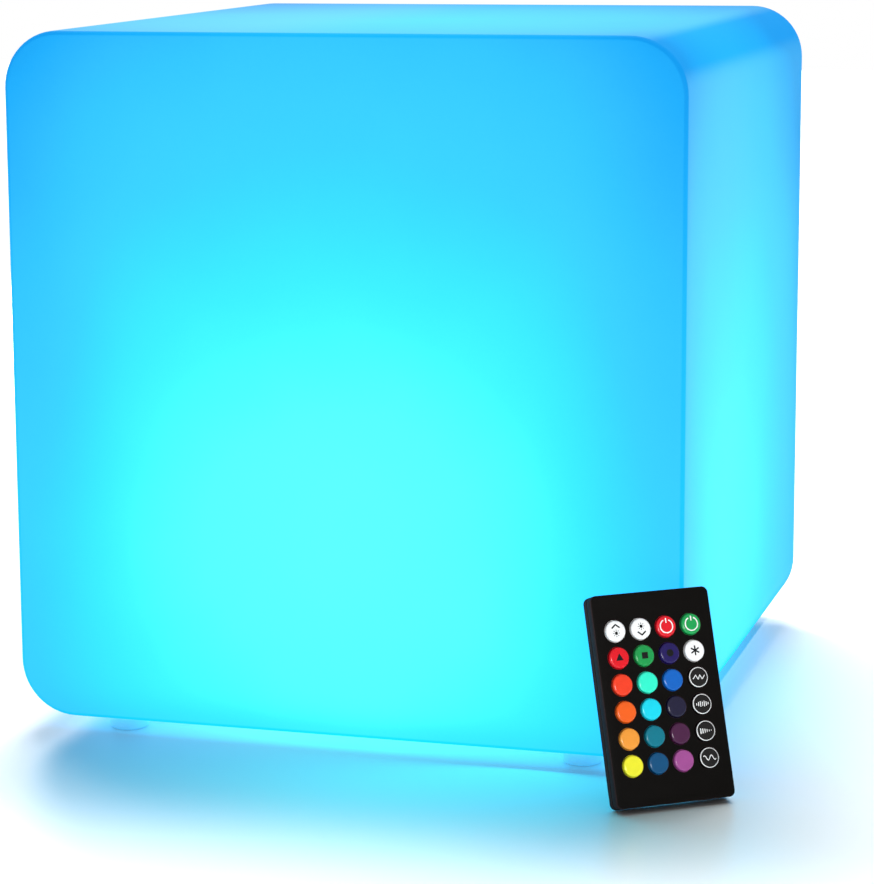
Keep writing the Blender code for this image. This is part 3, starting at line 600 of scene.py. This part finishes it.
# ------------------------------------------------------------------ cube shell
def shell_block(inset, rim, rim_steps, corner, side, rows, sink):
    """Rounded-square block along Y from a ring grid. The end faces and the four
    sides dip by sink away from their borders, as a cooled moulding does."""
    bm = bmesh.new()
    w, h, r = CUBE_W - 2 * inset, CUBE_H - 2 * inset, EDGE_R - inset
    yd = CUBE_D / 2 - inset
    n = None

    def outline(grow):
        return rounded_rect(w - 2 * grow, h - 2 * grow, max(r - grow, 0.001), corner, 0.0, ZC, side)

    def dip(t):
        """0 at the border, 1 well inside"""
        t = min(max(t, 0.0), 1.0)
        return t * t * (3 - 2 * t)

    rings = []
    # front cap from its middle outward
    caps = [0.0]
    inner = outline(rim)
    cap_scales = [i / 14 for i in range(0, 14)] + [0.955, 0.985, 1.0]
    for side_sign in (-1,):
        pass
    def cap_ring(scale, sign):
        out = []
        for x, z in inner:
            px, pz = x * scale, ZC + (z - ZC) * scale
            d = min(w / 2 - rim - abs(px), h / 2 - rim - abs(pz - ZC))
            out.append((px, sign * (yd - sink * dip(d / 0.014)), pz))
        return out

    order = []
    for sc in cap_scales:
        order.append(("cap", sc, -1))
    for i in range(1, rim_steps):
        order.append(("rim", i / rim_steps, -1))
    for i in range(rows + 1):
        order.append(("wall", i / rows, 0))
    for i in range(rim_steps - 1, 0, -1):
        order.append(("rim", i / rim_steps, 1))
    for sc in cap_scales[::-1]:
        order.append(("cap", sc, 1))
    for kind, t, sign in order:
        if kind == "cap":
            if t == 0.0:
                rings.append([bm.verts.new((0, sign * (yd - sink), ZC))])
            else:
                rings.append([bm.verts.new(p) for p in cap_ring(t, sign)])
        elif kind == "rim":
            a = pi / 2 * t
            pts = outline(rim * (1 - sin(a)))
            rings.append([bm.verts.new((x, sign * (yd - rim + rim * cos(a)), z)) for x, z in pts])
        else:
            # denser rows towards both rims
            u = -cos(pi * t) * 0.35 + (2 * t - 1) * 0.65
            y = (yd - rim) * u
            pts = outline(0.0)
            ring = []
            for x, z in pts:
                along = dip(((yd - rim) - abs(y)) / 0.014)
                # how far this point is inside the flat run of its side
                fx = dip((w / 2 - r - abs(x)) / 0.014)
                fz = dip((h / 2 - r - abs(z - ZC)) / 0.014)
                if abs(abs(z - ZC) - h / 2) < 1e-6 and fx > 0:
                    z = z - (1 if z > ZC else -1) * sink * fx * along
                elif abs(abs(x) - w / 2) < 1e-6 and fz > 0:
                    x = x - (1 if x > 0 else -1) * sink * fz * along
                ring.append(bm.verts.new((x, y, z)))
            rings.append(ring)
    n = len(inner)
    for a, b in zip(rings, rings[1:]):
        for i in range(n):
            j = (i + 1) % n
            if len(a) == 1:
                bm.faces.new((a[0], b[i], b[j]))
            elif len(b) == 1:
                bm.faces.new((a[i], b[0], a[j]))
            else:
                bm.faces.new((a[i], b[i], b[j], a[j]))
    return bm


shell = finish_mesh("cube_shell_fine", shell_block(0.0, RIM_R, 6, 14, 26, 44, 0.00030), MATS["glow_polyethylene"], 30.0)
boolean(shell, guide(shell_block(WALL, 0.0012, 2, 6, 2, 6, 0.0)), "DIFFERENCE")
bm = bmesh.new()
add_prism(bm, circle(NECK_OUT, 96), Z0 + 0.0012, NECK_TOP)
boolean(shell, guide(bm), "UNION")
bm = bmesh.new()
add_prism(bm, circle(NECK_R, 96), Z0 - 0.002, NECK_TOP + 0.002)
for sx in (-1, 1):
    for sy in (-1, 1):
        add_prism(bm, circle(FOOT_R + 0.0004, 48, sx * FOOT_X, sy * FOOT_Y), Z0 - 0.002, Z0 + FOOT_SEAT)
boolean(shell, guide(bm), "DIFFERENCE")
bm = bmesh.new()
for k in range(3):
    add_prism(bm, arc_sector(LEDGE_R, NECK_R + 0.0011, 120 * k - LEDGE_HALF, 120 * k + LEDGE_HALF, 14), *LEDGE_Z)
boolean(shell, guide(bm), "UNION")
bm = bmesh.new()
for k in range(3):
    for a0, a1 in ((-27.5, -24.0), (84.0, 87.5)):
        add_prism(bm, arc_sector(LEDGE_R + 0.0004, NECK_R + 0.0014, 120 * k + a0, 120 * k + a1, 2),
                  LEDGE_Z[0] + 0.0008, LUG_Z[1] + 0.0008)
boolean(shell, guide(bm), "UNION")
bake_modifiers(shell, 30.0)
place(shell, "cube", "cube_shell")

# ------------------------------------------------------------------------ feet
for name, sx, sy in (("foot_front_left", -1, -1), ("foot_front_right", 1, -1),
                     ("foot_back_left", -1, 1), ("foot_back_right", 1, 1)):
    top = FOOT_H + FOOT_SEAT - 0.0003
    prof = fillet([(0.0, 0.0006), (0.0044, 0.0006), (0.0050, 0.0), (FOOT_R, 0.0), (FOOT_R, 0.0052), (FOOT_R - 0.0004, 0.0056),
                   (FOOT_R - 0.0004, top), (0.0, top)],
                  {1: 0.0004, 2: 0.0004, 3: 0.0016, 4: 0.0003, 6: 0.0003}, 6)
    bm = add_turned(bmesh.new(), prof, 64)
    ob = finish_mesh(name + "_fine", bm, MATS["clear_silicone"], 50.0, Matrix.Translation((sx * FOOT_X, sy * FOOT_Y, 0)))
    place(ob, "cube", name)

# ---------------------------------------------------------- light unit housing
prof = fillet([(0.0, BASE_Z), (FLANGE_R, BASE_Z), (FLANGE_R, FLANGE_TOP), (TUBE_RO, FLANGE_TOP), (TUBE_RO, TUBE_TOP),
               (TUBE_RI, TUBE_TOP), (TUBE_RI, FLANGE_TOP), (0.0, FLANGE_TOP)], {1: 0.0009, 2: 0.0004, 3: 0.0006, 4: 0.0003, 5: 0.0003}, 5)
housing = finish_mesh("unit_housing_fine", add_turned(bmesh.new(), prof, 120), MATS["housing_white_abs"], 40.0)
bm = bmesh.new()
for s in (-1, 1):
    add_prism(bm, rounded_rect(WELL_X + 0.004, WELL_Y + 0.004, 0.006, 10, 0.0, s * WELL_MID), FLANGE_TOP - 0.0012, WELL_TOP + WELL_T)
boolean(housing, guide(bm), "UNION")
bm = bmesh.new()
for s in (-1, 1):
    # the wells flare a little towards their mouths
    rows = []
    for grow, z in ((0.0, WELL_TOP), (0.0, 0.0026), (0.0003, 0.0018), (0.0009, 0.0012), (0.0013, 0.0009), (0.0013, -0.0005)):
        rows.append([bm.verts.new((x, y, z)) for x, y in rounded_rect(WELL_X + 2 * grow, WELL_Y + 2 * grow, 0.004 + grow, 10, 0.0, s * WELL_MID)])
    bm.faces.new(rows[0])
    bm.faces.new(rows[-1][::-1])
    for a, b in zip(rows, rows[1:]):
        for i in range(len(a)):
            j = (i + 1) % len(a)
            bm.faces.new((a[i], b[i], b[j], a[j]))
boolean(housing, guide(bm), "DIFFERENCE")
bm = bmesh.new()
add_prism(bm, circle(0.0036, 40, BUTTON_X, -WELL_MID), WELL_TOP - 0.001, WELL_TOP + WELL_T + 0.001)
add_prism(bm, circle(0.0052, 40, PLUG_X, WELL_MID), WELL_TOP - 0.001, WELL_TOP + WELL_T + 0.001)
# a shallow annular groove and edge notches for the fingers, and a turn arrow cut into the face
for i in range(24):
    a = tau * (i + 0.5) / 24
    add_prism(bm, circle(0.0030, 20, (FLANGE_R + 0.0016) * cos(a), (FLANGE_R + 0.0016) * sin(a)), BASE_Z - 0.001, FLANGE_TOP + 0.001)
boolean(housing, guide(bm), "DIFFERENCE")
bm = bmesh.new()
groove = [(0.0462, BASE_Z - 0.0006), (0.0462, BASE_Z + 0.0004), (0.0472, BASE_Z + 0.0004), (0.0472, BASE_Z - 0.0006)]
add_turned(bm, groove, 120)
for a0, a1 in ((52.0, 76.0), (232.0, 256.0)):
    add_prism(bm, arc_sector(0.0393, 0.0405, a0, a1, 14), BASE_Z - 0.0006, BASE_Z + 0.0004)
    tip, root = radians(a1 + 5.2), radians(a1 + 0.5)
    add_prism(bm, [(0.0377 * cos(root), 0.0377 * sin(root)), (0.0421 * cos(root), 0.0421 * sin(root)), (0.0399 * cos(tip), 0.0399 * sin(tip))],
              BASE_Z - 0.0006, BASE_Z + 0.0004)
boolean(housing, guide(bm), "DIFFERENCE")
bm = bmesh.new()
for k in range(3):
    add_prism(bm, arc_sector(TUBE_RO - 0.0008, LUG_R, 120 * k - LUG_HALF, 120 * k + LUG_HALF, 12), *LUG_Z)
boolean(housing, guide(bm), "UNION")
SCREWS = [(0.0412 * cos(radians(a)), 0.0412 * sin(radians(a))) for a in (25, 155, 205, 335)]
bm = bmesh.new()
for x, y in SCREWS:
    add_prism(bm, circle(0.0036, 24, x, y, radians(7)), FLANGE_TOP - 0.0011, 0.0512)
for y in (-0.0205, 0.0205):
    add_prism(bm, circle(0.0022, 20, -0.0040, y), WELL_TOP + WELL_T - 0.0009, 0.0202)
boolean(housing, guide(bm), "UNION")
bm = bmesh.new()
for x, y in SCREWS:
    add_prism(bm, circle(0.0016, 16, x, y), 0.0392, 0.0522)
boolean(housing, guide(bm), "DIFFERENCE")
bake_modifiers(housing, 35.0)
place(housing, "light_unit", "unit_housing")

# power button, its bezel and the plug of the charging socket
prof = fillet([(0.0062, WELL_TOP - 0.0030), (0.0074, WELL_TOP - 0.0028), (0.0078, WELL_TOP - 0.0003), (0.0058, WELL_TOP - 0.0003),
               (0.0058, WELL_TOP - 0.0020), (0.0062, WELL_TOP - 0.0030)], {1: 0.0006, 2: 0.0002, 4: 0.0003}, 5)[:-1]
bezel = finish_mesh("button_bezel_fine", add_turned(bmesh.new(), prof, 64, (BUTTON_X, -WELL_MID)), MATS["grey_rubber"], 45.0)
place(bezel, "light_unit", "button_bezel")
prof = fillet([(0.0, -0.0034), (0.0026, -0.0034), (0.0030, -0.0037), (0.0038, -0.0035), (0.0050, -0.0028), (0.0053, -0.0014),
               (0.0030, -0.0014), (0.0030, 0.0046), (0.0, 0.0046)],
              {1: 0.0003, 2: 0.0004, 3: 0.0006, 4: 0.0010, 5: 0.0002, 7: 0.0004}, 6)
button = finish_mesh("power_button_fine", add_turned(bmesh.new(), prof, 64), MATS["grey_rubber"], 45.0,
                     Matrix.Translation((BUTTON_X, -WELL_MID, WELL_TOP)))
place(button, "power_button", "power_button")
prof = fillet([(0.0, -0.0030), (0.0060, -0.0030), (0.0070, -0.0022), (0.0070, -0.0003), (0.0048, -0.0003), (0.0048, 0.0010),
               (0.0051, 0.0014), (0.0046, 0.0024), (0.0, 0.0024)], {1: 0.0008, 2: 0.0006, 3: 0.0003, 6: 0.0003, 7: 0.0004}, 5)
plug = finish_mesh("charge_plug_fine", add_turned(bmesh.new(), prof, 64), MATS["grey_rubber"], 45.0,
                   Matrix.Translation((PLUG_X, WELL_MID, WELL_TOP)))
bm = bmesh.new()
for i in (-1, 0, 1):
    add_prism(bm, rounded_rect(0.0070, 0.0009, 0.00044, 5, 0.0, i * 0.0020), -0.0040, -0.00255)
boolean(plug, guide(bm, Matrix.Translation((PLUG_X, WELL_MID, WELL_TOP))), "DIFFERENCE")
bake_modifiers(plug, 45.0)
place(plug, "charge_plug", "charge_plug")


# -------------------------------------------------------------- remote's shells
def case_half(name, y0, y1, face_y, ease):
    bm = add_prism(bmesh.new(), rounded_rect(RM_W, RM_H, RM_CORNER, 12, 0.0, RM_H / 2), y0, y1, "Y")
    for yy, off, seg in ((face_y, ease, 4), (y0 if face_y == y1 else y1, 0.00012, 2)):
        ends = [e for e in bm.edges if abs(e.verts[0].co.y - yy) < 1e-6 and abs(e.verts[1].co.y - yy) < 1e-6]
        bmesh.ops.bevel(bm, geom=ends, offset=off, offset_type="OFFSET", segments=seg, profile=0.5,
                        affect="EDGES", clamp_overlap=True)
    return finish_mesh(name, bm, MATS["remote_case_black"], 35.0, REMOTE)


front = case_half("remote_front_fine", 0.0, RM_SPLIT, 0.0, 0.0006)
boolean(front, guide(add_prism(bmesh.new(), rounded_rect(RM_W - 2 * RM_WALL, RM_H - 2 * RM_WALL, 0.0012, 4, 0.0, RM_H / 2),
                               RM_FRONT, RM_SPLIT + 0.001, "Y"), REMOTE), "DIFFERENCE")
bm = bmesh.new()
for r_ in range(6):
    for c_ in range(4):
        # each key hole has a fine chamfer at the front
        prof = [(0.0, -0.0010), (KEY_HOLE_R + 0.00018 + 0.0009, -0.0010), (KEY_HOLE_R + 0.00018, -0.00002), (KEY_HOLE_R, 0.00018), (KEY_HOLE_R, RM_FRONT + 0.001), (0.0, RM_FRONT + 0.001)]
        add_turned(bm, prof, 48, (KEY_X0 + c_ * KEY_DX, KEY_Z0 - r_ * KEY_DZ), axis="Y")
boolean(front, guide(bm, REMOTE), "DIFFERENCE")
bake_modifiers(front, 35.0)
settle(front, "remote_front_case")
place(front, "remote", "remote_front_case")

back = case_half("remote_back_fine", RM_SPLIT + 0.0003, RM_T, RM_T, 0.0007)
boolean(back, guide(add_prism(bmesh.new(), rounded_rect(RM_W - 2 * RM_WALL, RM_H - 2 * RM_WALL, 0.0012, 4, 0.0, RM_H / 2),
                              RM_SPLIT - 0.001, RM_T - 0.0012, "Y"), REMOTE), "DIFFERENCE")
bm = add_prism(bmesh.new(), [(-TRAY_W / 2 - 0.0003, -0.001), (TRAY_W / 2 + 0.0003, -0.001), (TRAY_W / 2 + 0.0003, TRAY_H + 0.0003),
                             (-TRAY_W / 2 - 0.0003, TRAY_H + 0.0003)], RM_SPLIT - 0.001, RM_T + 0.001, "Y")
add_prism(bm, [(-0.0016, RM_H - 0.0030), (0.0016, RM_H - 0.0030), (0.0016, RM_H + 0.001), (-0.0016, RM_H + 0.001)],
          RM_SPLIT - 0.001, 0.00755, "Y")
boolean(back, guide(bm, REMOTE), "DIFFERENCE")
# a shallow blank label panel and a short arrow towards the tray
bm = add_prism(bmesh.new(), rounded_rect(0.0360, 0.0300, 0.0020, 8, 0.0, 0.0600), RM_T - 0.0002, RM_T + 0.001, "Y")
add_prism(bm, [(-0.0030, 0.0352), (0.0030, 0.0352), (0.0, 0.0318)], RM_T - 0.0003, RM_T + 0.001, "Y")
boolean(back, guide(bm, REMOTE), "DIFFERENCE")
bake_modifiers(back, 35.0)
settle(back, "remote_back_case")
place(back, "remote", "remote_back_case")

tray = finish_mesh("battery_tray_fine", add_prism(bmesh.new(), [(-TRAY_W / 2, 0.0003), (TRAY_W / 2, 0.0003), (TRAY_W / 2, TRAY_H), (-TRAY_W / 2, TRAY_H)],
                                                  0.0053, RM_T - 0.0002, "Y"), MATS["remote_case_black"], 35.0, REMOTE)
boolean(tray, guide(add_prism(bmesh.new(), circle(0.0103, 64, 0.0, 0.0145), 0.0043, 0.0081, "Y"), REMOTE), "DIFFERENCE")
bm = bmesh.new()
for i in range(7):
    x = (i - 3) * 0.0016
    add_prism(bm, rounded_rect(0.0007, 0.0060, 0.0003, 4, x, 0.0062), RM_T - 0.0005, RM_T + 0.001, "Y")
boolean(tray, guide(bm, REMOTE), "DIFFERENCE")
bake_modifiers(tray, 35.0)
settle(tray, "battery_tray")
place(tray, "battery_tray", "battery_tray")

# ----------------------------------------------------------------------- keys
CAP_TOP = KEY_RISE + 0.00045


def dome(r):
    """Height of a key's face above the case at radius r: a low crown with a rolled edge."""
    flat = 0.0036
    crown = CAP_TOP - 0.00016 * (r / flat) ** 2
    if r <= flat:
        return crown
    t = min((r - flat) / (KEY_R - flat), 1.0)
    edge_top = CAP_TOP - 0.00016
    return edge_top - 0.00062 * (1 - sqrt(max(1 - t * t, 0.0))) - 0.00009 * t


def add_ink_strip(bm, pts, width, closed=False, lift=0.00005, sink=0.00008):
    """A flat printed line of the given width along points on the key's face, laid over the crown."""
    n = len(pts)
    stations = []
    for i in range(n):
        if closed:
            a, b = Vector(pts[i - 1]), Vector(pts[(i + 1) % n])
        else:
            a, b = Vector(pts[max(i - 1, 0)]), Vector(pts[min(i + 1, n - 1)])
        t = (b - a).normalized()
        nrm = Vector((-t.y, t.x)) * width / 2
        p = Vector(pts[i])
        ring = []
        for q, d in ((p + nrm, lift), (p - nrm, lift), (p - nrm, -sink), (p + nrm, -sink)):
            ring.append(bm.verts.new((q.x, -(dome(q.length) + d), q.y)))
        stations.append(ring)
    faces = []
    pairs = list(zip(stations, stations[1:]))
    if closed:
        pairs.append((stations[-1], stations[0]))
    for a, b in pairs:
        for k in range(4):
            l_ = (k + 1) % 4
            faces.append(bm.faces.new((a[k], a[l_], b[l_], b[k])))
    if not closed:
        faces.append(bm.faces.new(stations[0][::-1]))
        faces.append(bm.faces.new(stations[-1]))
    return faces


def add_ink_patch(bm, pts, lift=0.00005, sink=0.00008, rings=5):
    """A filled printed shape that is star-shaped about its middle, laid over the crown."""
    c = Vector((sum(p[0] for p in pts) / len(pts), sum(p[1] for p in pts) / len(pts)))
    faces, prev = [], None
    mid = bm.verts.new((c.x, -(dome(c.length) + lift), c.y))
    n = len(pts)
    for k in range(1, rings + 1):
        ring = []
        for p in pts:
            q = c + (Vector(p) - c) * k / rings
            ring.append(bm.verts.new((q.x, -(dome(q.length) + lift), q.y)))
        for i in range(n):
            j = (i + 1) % n
            faces.append(bm.faces.new((mid, ring[i], ring[j])) if prev is None else bm.faces.new((prev[i], ring[i], ring[j], prev[j])))
        prev = ring
    low = [bm.verts.new((p[0], -(dome(hypot(*p)) - sink), p[1])) for p in pts]
    for i in range(n):
        j = (i + 1) % n
        faces.append(bm.faces.new((prev[i], low[i], low[j], prev[j])))
    faces.append(bm.faces.new(low[::-1]))
    return faces


def line(a, b, n=8):
    return [(a[0] + (b[0] - a[0]) * i / n, a[1] + (b[1] - a[1]) * i / n) for i in range(n + 1)]


def poly(*pts, n=6):
    out = []
    for a, b in zip(pts, pts[1:]):
        out += line(a, b, n)[:-1]
    return out + [pts[-1]]


def arc(r, a0, a1, n=40, cx=0.0, cy=0.0):
    return [(cx + r * cos(radians(a0 + (a1 - a0) * i / n)), cy + r * sin(radians(a0 + (a1 - a0) * i / n))) for i in range(n + 1)]


def sun(bm, cy):
    f = add_ink_patch(bm, circle(0.00068, 28, 0.0, cy))
    for i in range(8):
        a = radians(45 * i)
        f += add_ink_strip(bm, line((0.00098 * cos(a), cy + 0.00098 * sin(a)), (0.00148 * cos(a), cy + 0.00148 * sin(a)), 3), 0.00026)
    return f


def ink_for(name, bm):
    """The printed mark of a key, all generic signs, and which ink it takes."""
    MM = 0.001
    if name == "key_brightness_up":
        return sun(bm, -0.00095) + add_ink_strip(bm, poly((-1.75 * MM, 1.15 * MM), (0, 2.60 * MM), (1.75 * MM, 1.15 * MM)), 0.00062), INK_BLACK
    if name == "key_brightness_down":
        return sun(bm, 0.00095) + add_ink_strip(bm, poly((-1.75 * MM, -1.15 * MM), (0, -2.60 * MM), (1.75 * MM, -1.15 * MM)), 0.00062), INK_BLACK
    if name in ("key_power_off", "key_power_on"):
        return add_ink_strip(bm, arc(2.70 * MM, 114, 426, 60), 0.00050) + add_ink_strip(bm, line((0, 1.35 * MM), (0, 3.30 * MM)), 0.00052), INK_WHITE
    if name == "key_red":
        return add_ink_patch(bm, poly((0, 1.9 * MM), (-1.65 * MM, -1.1 * MM), (1.65 * MM, -1.1 * MM), (0, 1.9 * MM))[:-1]), INK_BLACK
    if name == "key_green":
        return add_ink_patch(bm, poly((-1.3 * MM, -1.3 * MM), (1.3 * MM, -1.3 * MM), (1.3 * MM, 1.3 * MM), (-1.3 * MM, 1.3 * MM), (-1.3 * MM, -1.3 * MM))[:-1]), INK_BLACK
    if name == "key_blue":
        return add_ink_patch(bm, circle(1.5 * MM, 32)), INK_BLACK
    if name == "key_white":
        f = []
        for a in (0, 60, 120):
            c, s = cos(radians(a + 30)), sin(radians(a + 30))
            f += add_ink_strip(bm, line((-2.0 * MM * c, -2.0 * MM * s), (2.0 * MM * c, 2.0 * MM * s), 10), 0.00062, lift=0.00005 + a * 1e-7)
        return f, INK_BLACK
    if name.startswith("key_mode_"):
        f = add_ink_strip(bm, arc(3.90 * MM, 0, 360 * 71 / 72, 71), 0.00032, closed=True)
        if name == "key_mode_flash":
            f += add_ink_strip(bm, poly((-2.6 * MM, -0.6 * MM), (-1.3 * MM, 0.9 * MM), (-0.4 * MM, -0.9 * MM), (0.5 * MM, 0.9 * MM), (1.4 * MM, -0.9 * MM), (2.6 * MM, 0.6 * MM)), 0.00034)
        elif name == "key_mode_strobe":
            for i in range(7):
                h = (0.45, 0.85, 1.15, 0.85, 1.15, 0.85, 0.45)[i] * MM
                f += add_ink_strip(bm, line(((i - 3) * 0.84 * MM, -h), ((i - 3) * 0.84 * MM, h), 4), 0.00036)
        elif name == "key_mode_fade":
            for i in range(6):
                h = (1.25 - 0.19 * i) * MM
                f += add_ink_strip(bm, line(((i - 2.5) * 0.92 * MM, -h * 0.9), ((i - 2.5) * 0.92 * MM, h * 0.9), 4), (0.46 - 0.05 * i) * MM)
        else:
            f += add_ink_strip(bm, [(x * MM, 0.95 * MM * sin(x * 2.1)) for x in [(-2.7 + 5.4 * i / 48) for i in range(49)]], 0.00034)
        return f, INK_WHITE
    return [], None


def key_mesh(name, cx, cz):
    bm = bmesh.new()
    prof = [(0.0, -dome(0.0))]
    for i in range(1, 13):
        prof.append((0.0036 * i / 12, -dome(0.0036 * i / 12)))
    for i in range(1, 9):
        a = sin(pi / 2 * i / 8)
        rr = 0.0036 + (KEY_R - 0.0036) * a
        prof.append((rr, -dome(rr)))
    prof += [(KEY_R, 0.0), (KEY_R, 0.0014), (KEY_R + 0.0001, 0.0015), (KEY_FLANGE_R, 0.0015), (KEY_FLANGE_R, 0.0019),
             (0.0021, 0.0019), (0.0021, 0.0034), (0.0020, 0.0035), (0.0, 0.0035)]
    add_turned(bm, prof, 56, axis="Y")
    bmesh.ops.recalc_face_normals(bm, faces=bm.faces)
    ink, mat = ink_for(name, bm)
    for f in ink:
        f.material_index = 1
    ob = finish_mesh(name + "_fine", bm, MATS[name], 50.0, REMOTE @ Matrix.Translation((cx, 0.0, cz)), [mat] if mat else [])
    return ob


for r_ in range(6):
    for c_ in range(4):
        name = KEYS[r_][c_]
        place(key_mesh(name, KEY_X0 + c_ * KEY_DX, KEY_Z0 - r_ * KEY_DZ), name, name)

# ---------------------------------------------------------------------- stage
ROOM, SOFTBOX, SHEEN = 0.23, 15.5, 0.45
KEY_AZ, KEY_EL = radians(17.0), radians(60.0)
floor = finish_mesh("floor", add_prism(bmesh.new(), rounded_rect(9.0, 9.0, 0.5, 8), -0.0103, -0.00006), INK_WHITE, 40.0)
g = Graph("pale_floor")
v = g.coords()
g.link(g.mix(g.noise(v, 3.0, 2.0), (0.80, 0.80, 0.80), (0.82, 0.82, 0.82)), g.p.inputs["Base Color"])
g.link(g.map_range(g.noise(v, 12.0, 3.0), 0.3, 0.7, 0.30, 0.34), g.p.inputs["Roughness"])
g.p.inputs["Specular IOR Level"].default_value = 0.22
floor.data.materials[0] = g.m

world = bpy.data.worlds.new("studio")
bpy.context.scene.world = world
world.use_nodes = True
wt = world.node_tree
bg = wt.nodes["Background"]


def wnode(kind, op=None, **ins):
    n = wt.nodes.new(kind)
    if op:
        n.operation = op
    for k, v in ins.items():
        i = int(k[1:])
        if isinstance(v, bpy.types.NodeSocket):
            wt.links.new(v, n.inputs[i])
        else:
            n.inputs[i].default_value = v
    return n.outputs


# one large soft light high up and a little behind the object, over an even room; the backdrop itself shows plain white,
# and shiny surfaces mirror an even, calm room
wdir = wnode("ShaderNodeVectorMath", "NORMALIZE", _0=wt.nodes.new("ShaderNodeTexCoord").outputs["Generated"])["Vector"]
facing = wnode("ShaderNodeVectorMath", "DOT_PRODUCT", _0=wdir, _1=Vector((-sin(KEY_AZ) * cos(KEY_EL), cos(KEY_AZ) * cos(KEY_EL), sin(KEY_EL))))["Value"]
mr = wt.nodes.new("ShaderNodeMapRange")
mr.interpolation_type = "SMOOTHSTEP"
wt.links.new(facing, mr.inputs[0])
mr.inputs[1].default_value, mr.inputs[2].default_value = cos(radians(20.0)), cos(radians(9.0))
mr.inputs[3].default_value, mr.inputs[4].default_value = ROOM, ROOM + SOFTBOX
path = wt.nodes.new("ShaderNodeLightPath").outputs


def wmix(fac, x, y):
    n = wt.nodes.new("ShaderNodeMix")
    for sock, v in zip(n.inputs[:4], (fac, None, x, y)):
        if isinstance(v, bpy.types.NodeSocket):
            wt.links.new(v, sock)
        elif v is not None:
            sock.default_value = v
    return n.outputs[0]


wt.links.new(wmix(path["Is Camera Ray"], wmix(path["Is Glossy Ray"], mr.outputs[0], SHEEN), 1.0), bg.inputs["Strength"])
bg.inputs["Color"].default_value = (1.0, 1.0, 1.0, 1.0)


def area(name, loc, target, size, power, colour=(1, 1, 1)):
    d = bpy.data.lights.new(name, "AREA")
    d.shape, d.size, d.energy, d.color = "DISK", size, power, colour
    ob = bpy.data.objects.new(name, d)
    bpy.context.scene.collection.objects.link(ob)
    ob.matrix_world = Matrix.LocRotScale(Vector(loc), (Vector(target) - Vector(loc)).to_track_quat("-Z", "Y"), None)
    return ob


def linked(ob, name, members):
    group = bpy.data.collections.new(name)
    for m in members:
        group.objects.link(m)
    ob.light_linking.receiver_collection = group
    ob.visible_camera = ob.visible_glossy = False


front_fill = area("front_fill", (0.75, -1.35, 0.42), (0.1548, -0.18456, 0.04), 0.35, 11.8)
linked(front_fill, "remote_fill", [ob for ob in list(bpy.context.scene.objects) if ob.type == "MESH" and body_of(ob)
       and body_of(ob)[0] not in ("cube", "light_unit", "power_button", "charge_plug")])
front_fill.visible_glossy = True
# the lamp's spill on the table in front of and beside the cube, and a low wash from behind the left
cyan = (0.0, 0.92, 1.0)
linked(area("spill_front", (0.085, -0.160, 0.100), (0.085, -1.0, -0.010), 0.20, 0.120, cyan), "spill_front_on", [floor])
linked(area("spill_right", (0.160, 0.020, 0.140), (1.0, 0.020, 0.060), 0.24, 0.080, cyan), "spill_right_on", [floor])
linked(area("wash_left", (-0.81, 1.17, 0.42), (-0.13, -0.17, 0.0), 0.30, 34.0), "wash_left_on", [floor])


def spot(name, loc, radius, blend, power, members):
    """a lamp pointing straight down, its cone meeting the floor in a circle of that radius"""
    d = bpy.data.lights.new(name, "SPOT")
    d.energy, d.shadow_soft_size, d.spot_size, d.spot_blend = power, 0.05, 2 * atan2(radius, loc[2]), blend
    ob = bpy.data.objects.new(name, d)
    bpy.context.scene.collection.objects.link(ob)
    ob.location = loc
    linked(ob, name + "_on", members)


spot("foreground", (0.0, -2.2, 3.0), 1.980, 0.070, 470.0, [floor])
spot("right_side", (1.6, 0.45, 3.0), 1.60, 0.165, 235.0, [floor])
spot("backdrop", (0.0, 5.0, 3.0), 4.5, 0.30, 900.0, [floor])
spot("backdrop_left", (-5.0, 0.0, 3.0), 4.2, 0.30, 900.0, [floor])

# --------------------------------------------------------------------- camera
cam_data = bpy.data.cameras.new("camera")
cam = bpy.data.objects.new("camera", cam_data)
bpy.context.scene.collection.objects.link(cam)
yaw, pitch, roll = radians(16.671), radians(-10.246), radians(-0.399)
fwd = Vector((-sin(yaw) * cos(pitch), cos(yaw) * cos(pitch), sin(pitch)))
right = Vector((cos(yaw), sin(yaw), 0.0))
up = right.cross(fwd)
right_r = right * cos(roll) + up * sin(roll)
up_r = up * cos(roll) - right * sin(roll)
rot = Matrix((right_r, up_r, -fwd)).transposed()
cam.matrix_world = Matrix.Translation((0.3788, -1.3157, 0.3678)) @ rot.to_4x4()
cam_data.sensor_width = 36.0
cam_data.sensor_fit = "AUTO"
cam_data.lens = 2974.7 * 36.0 / 884.0
cam_data.shift_x = (437.0 - 401.1) / 884.0
cam_data.shift_y = (418.7 - 442.0) / 884.0
cam_data.clip_start = 0.01
cam_data.clip_end = 50.0
bpy.context.scene.camera = cam
bpy.context.scene.view_settings.view_transform = "Standard"
bpy.context.scene.view_settings.look = "None"

bpy.context.view_layer.update()
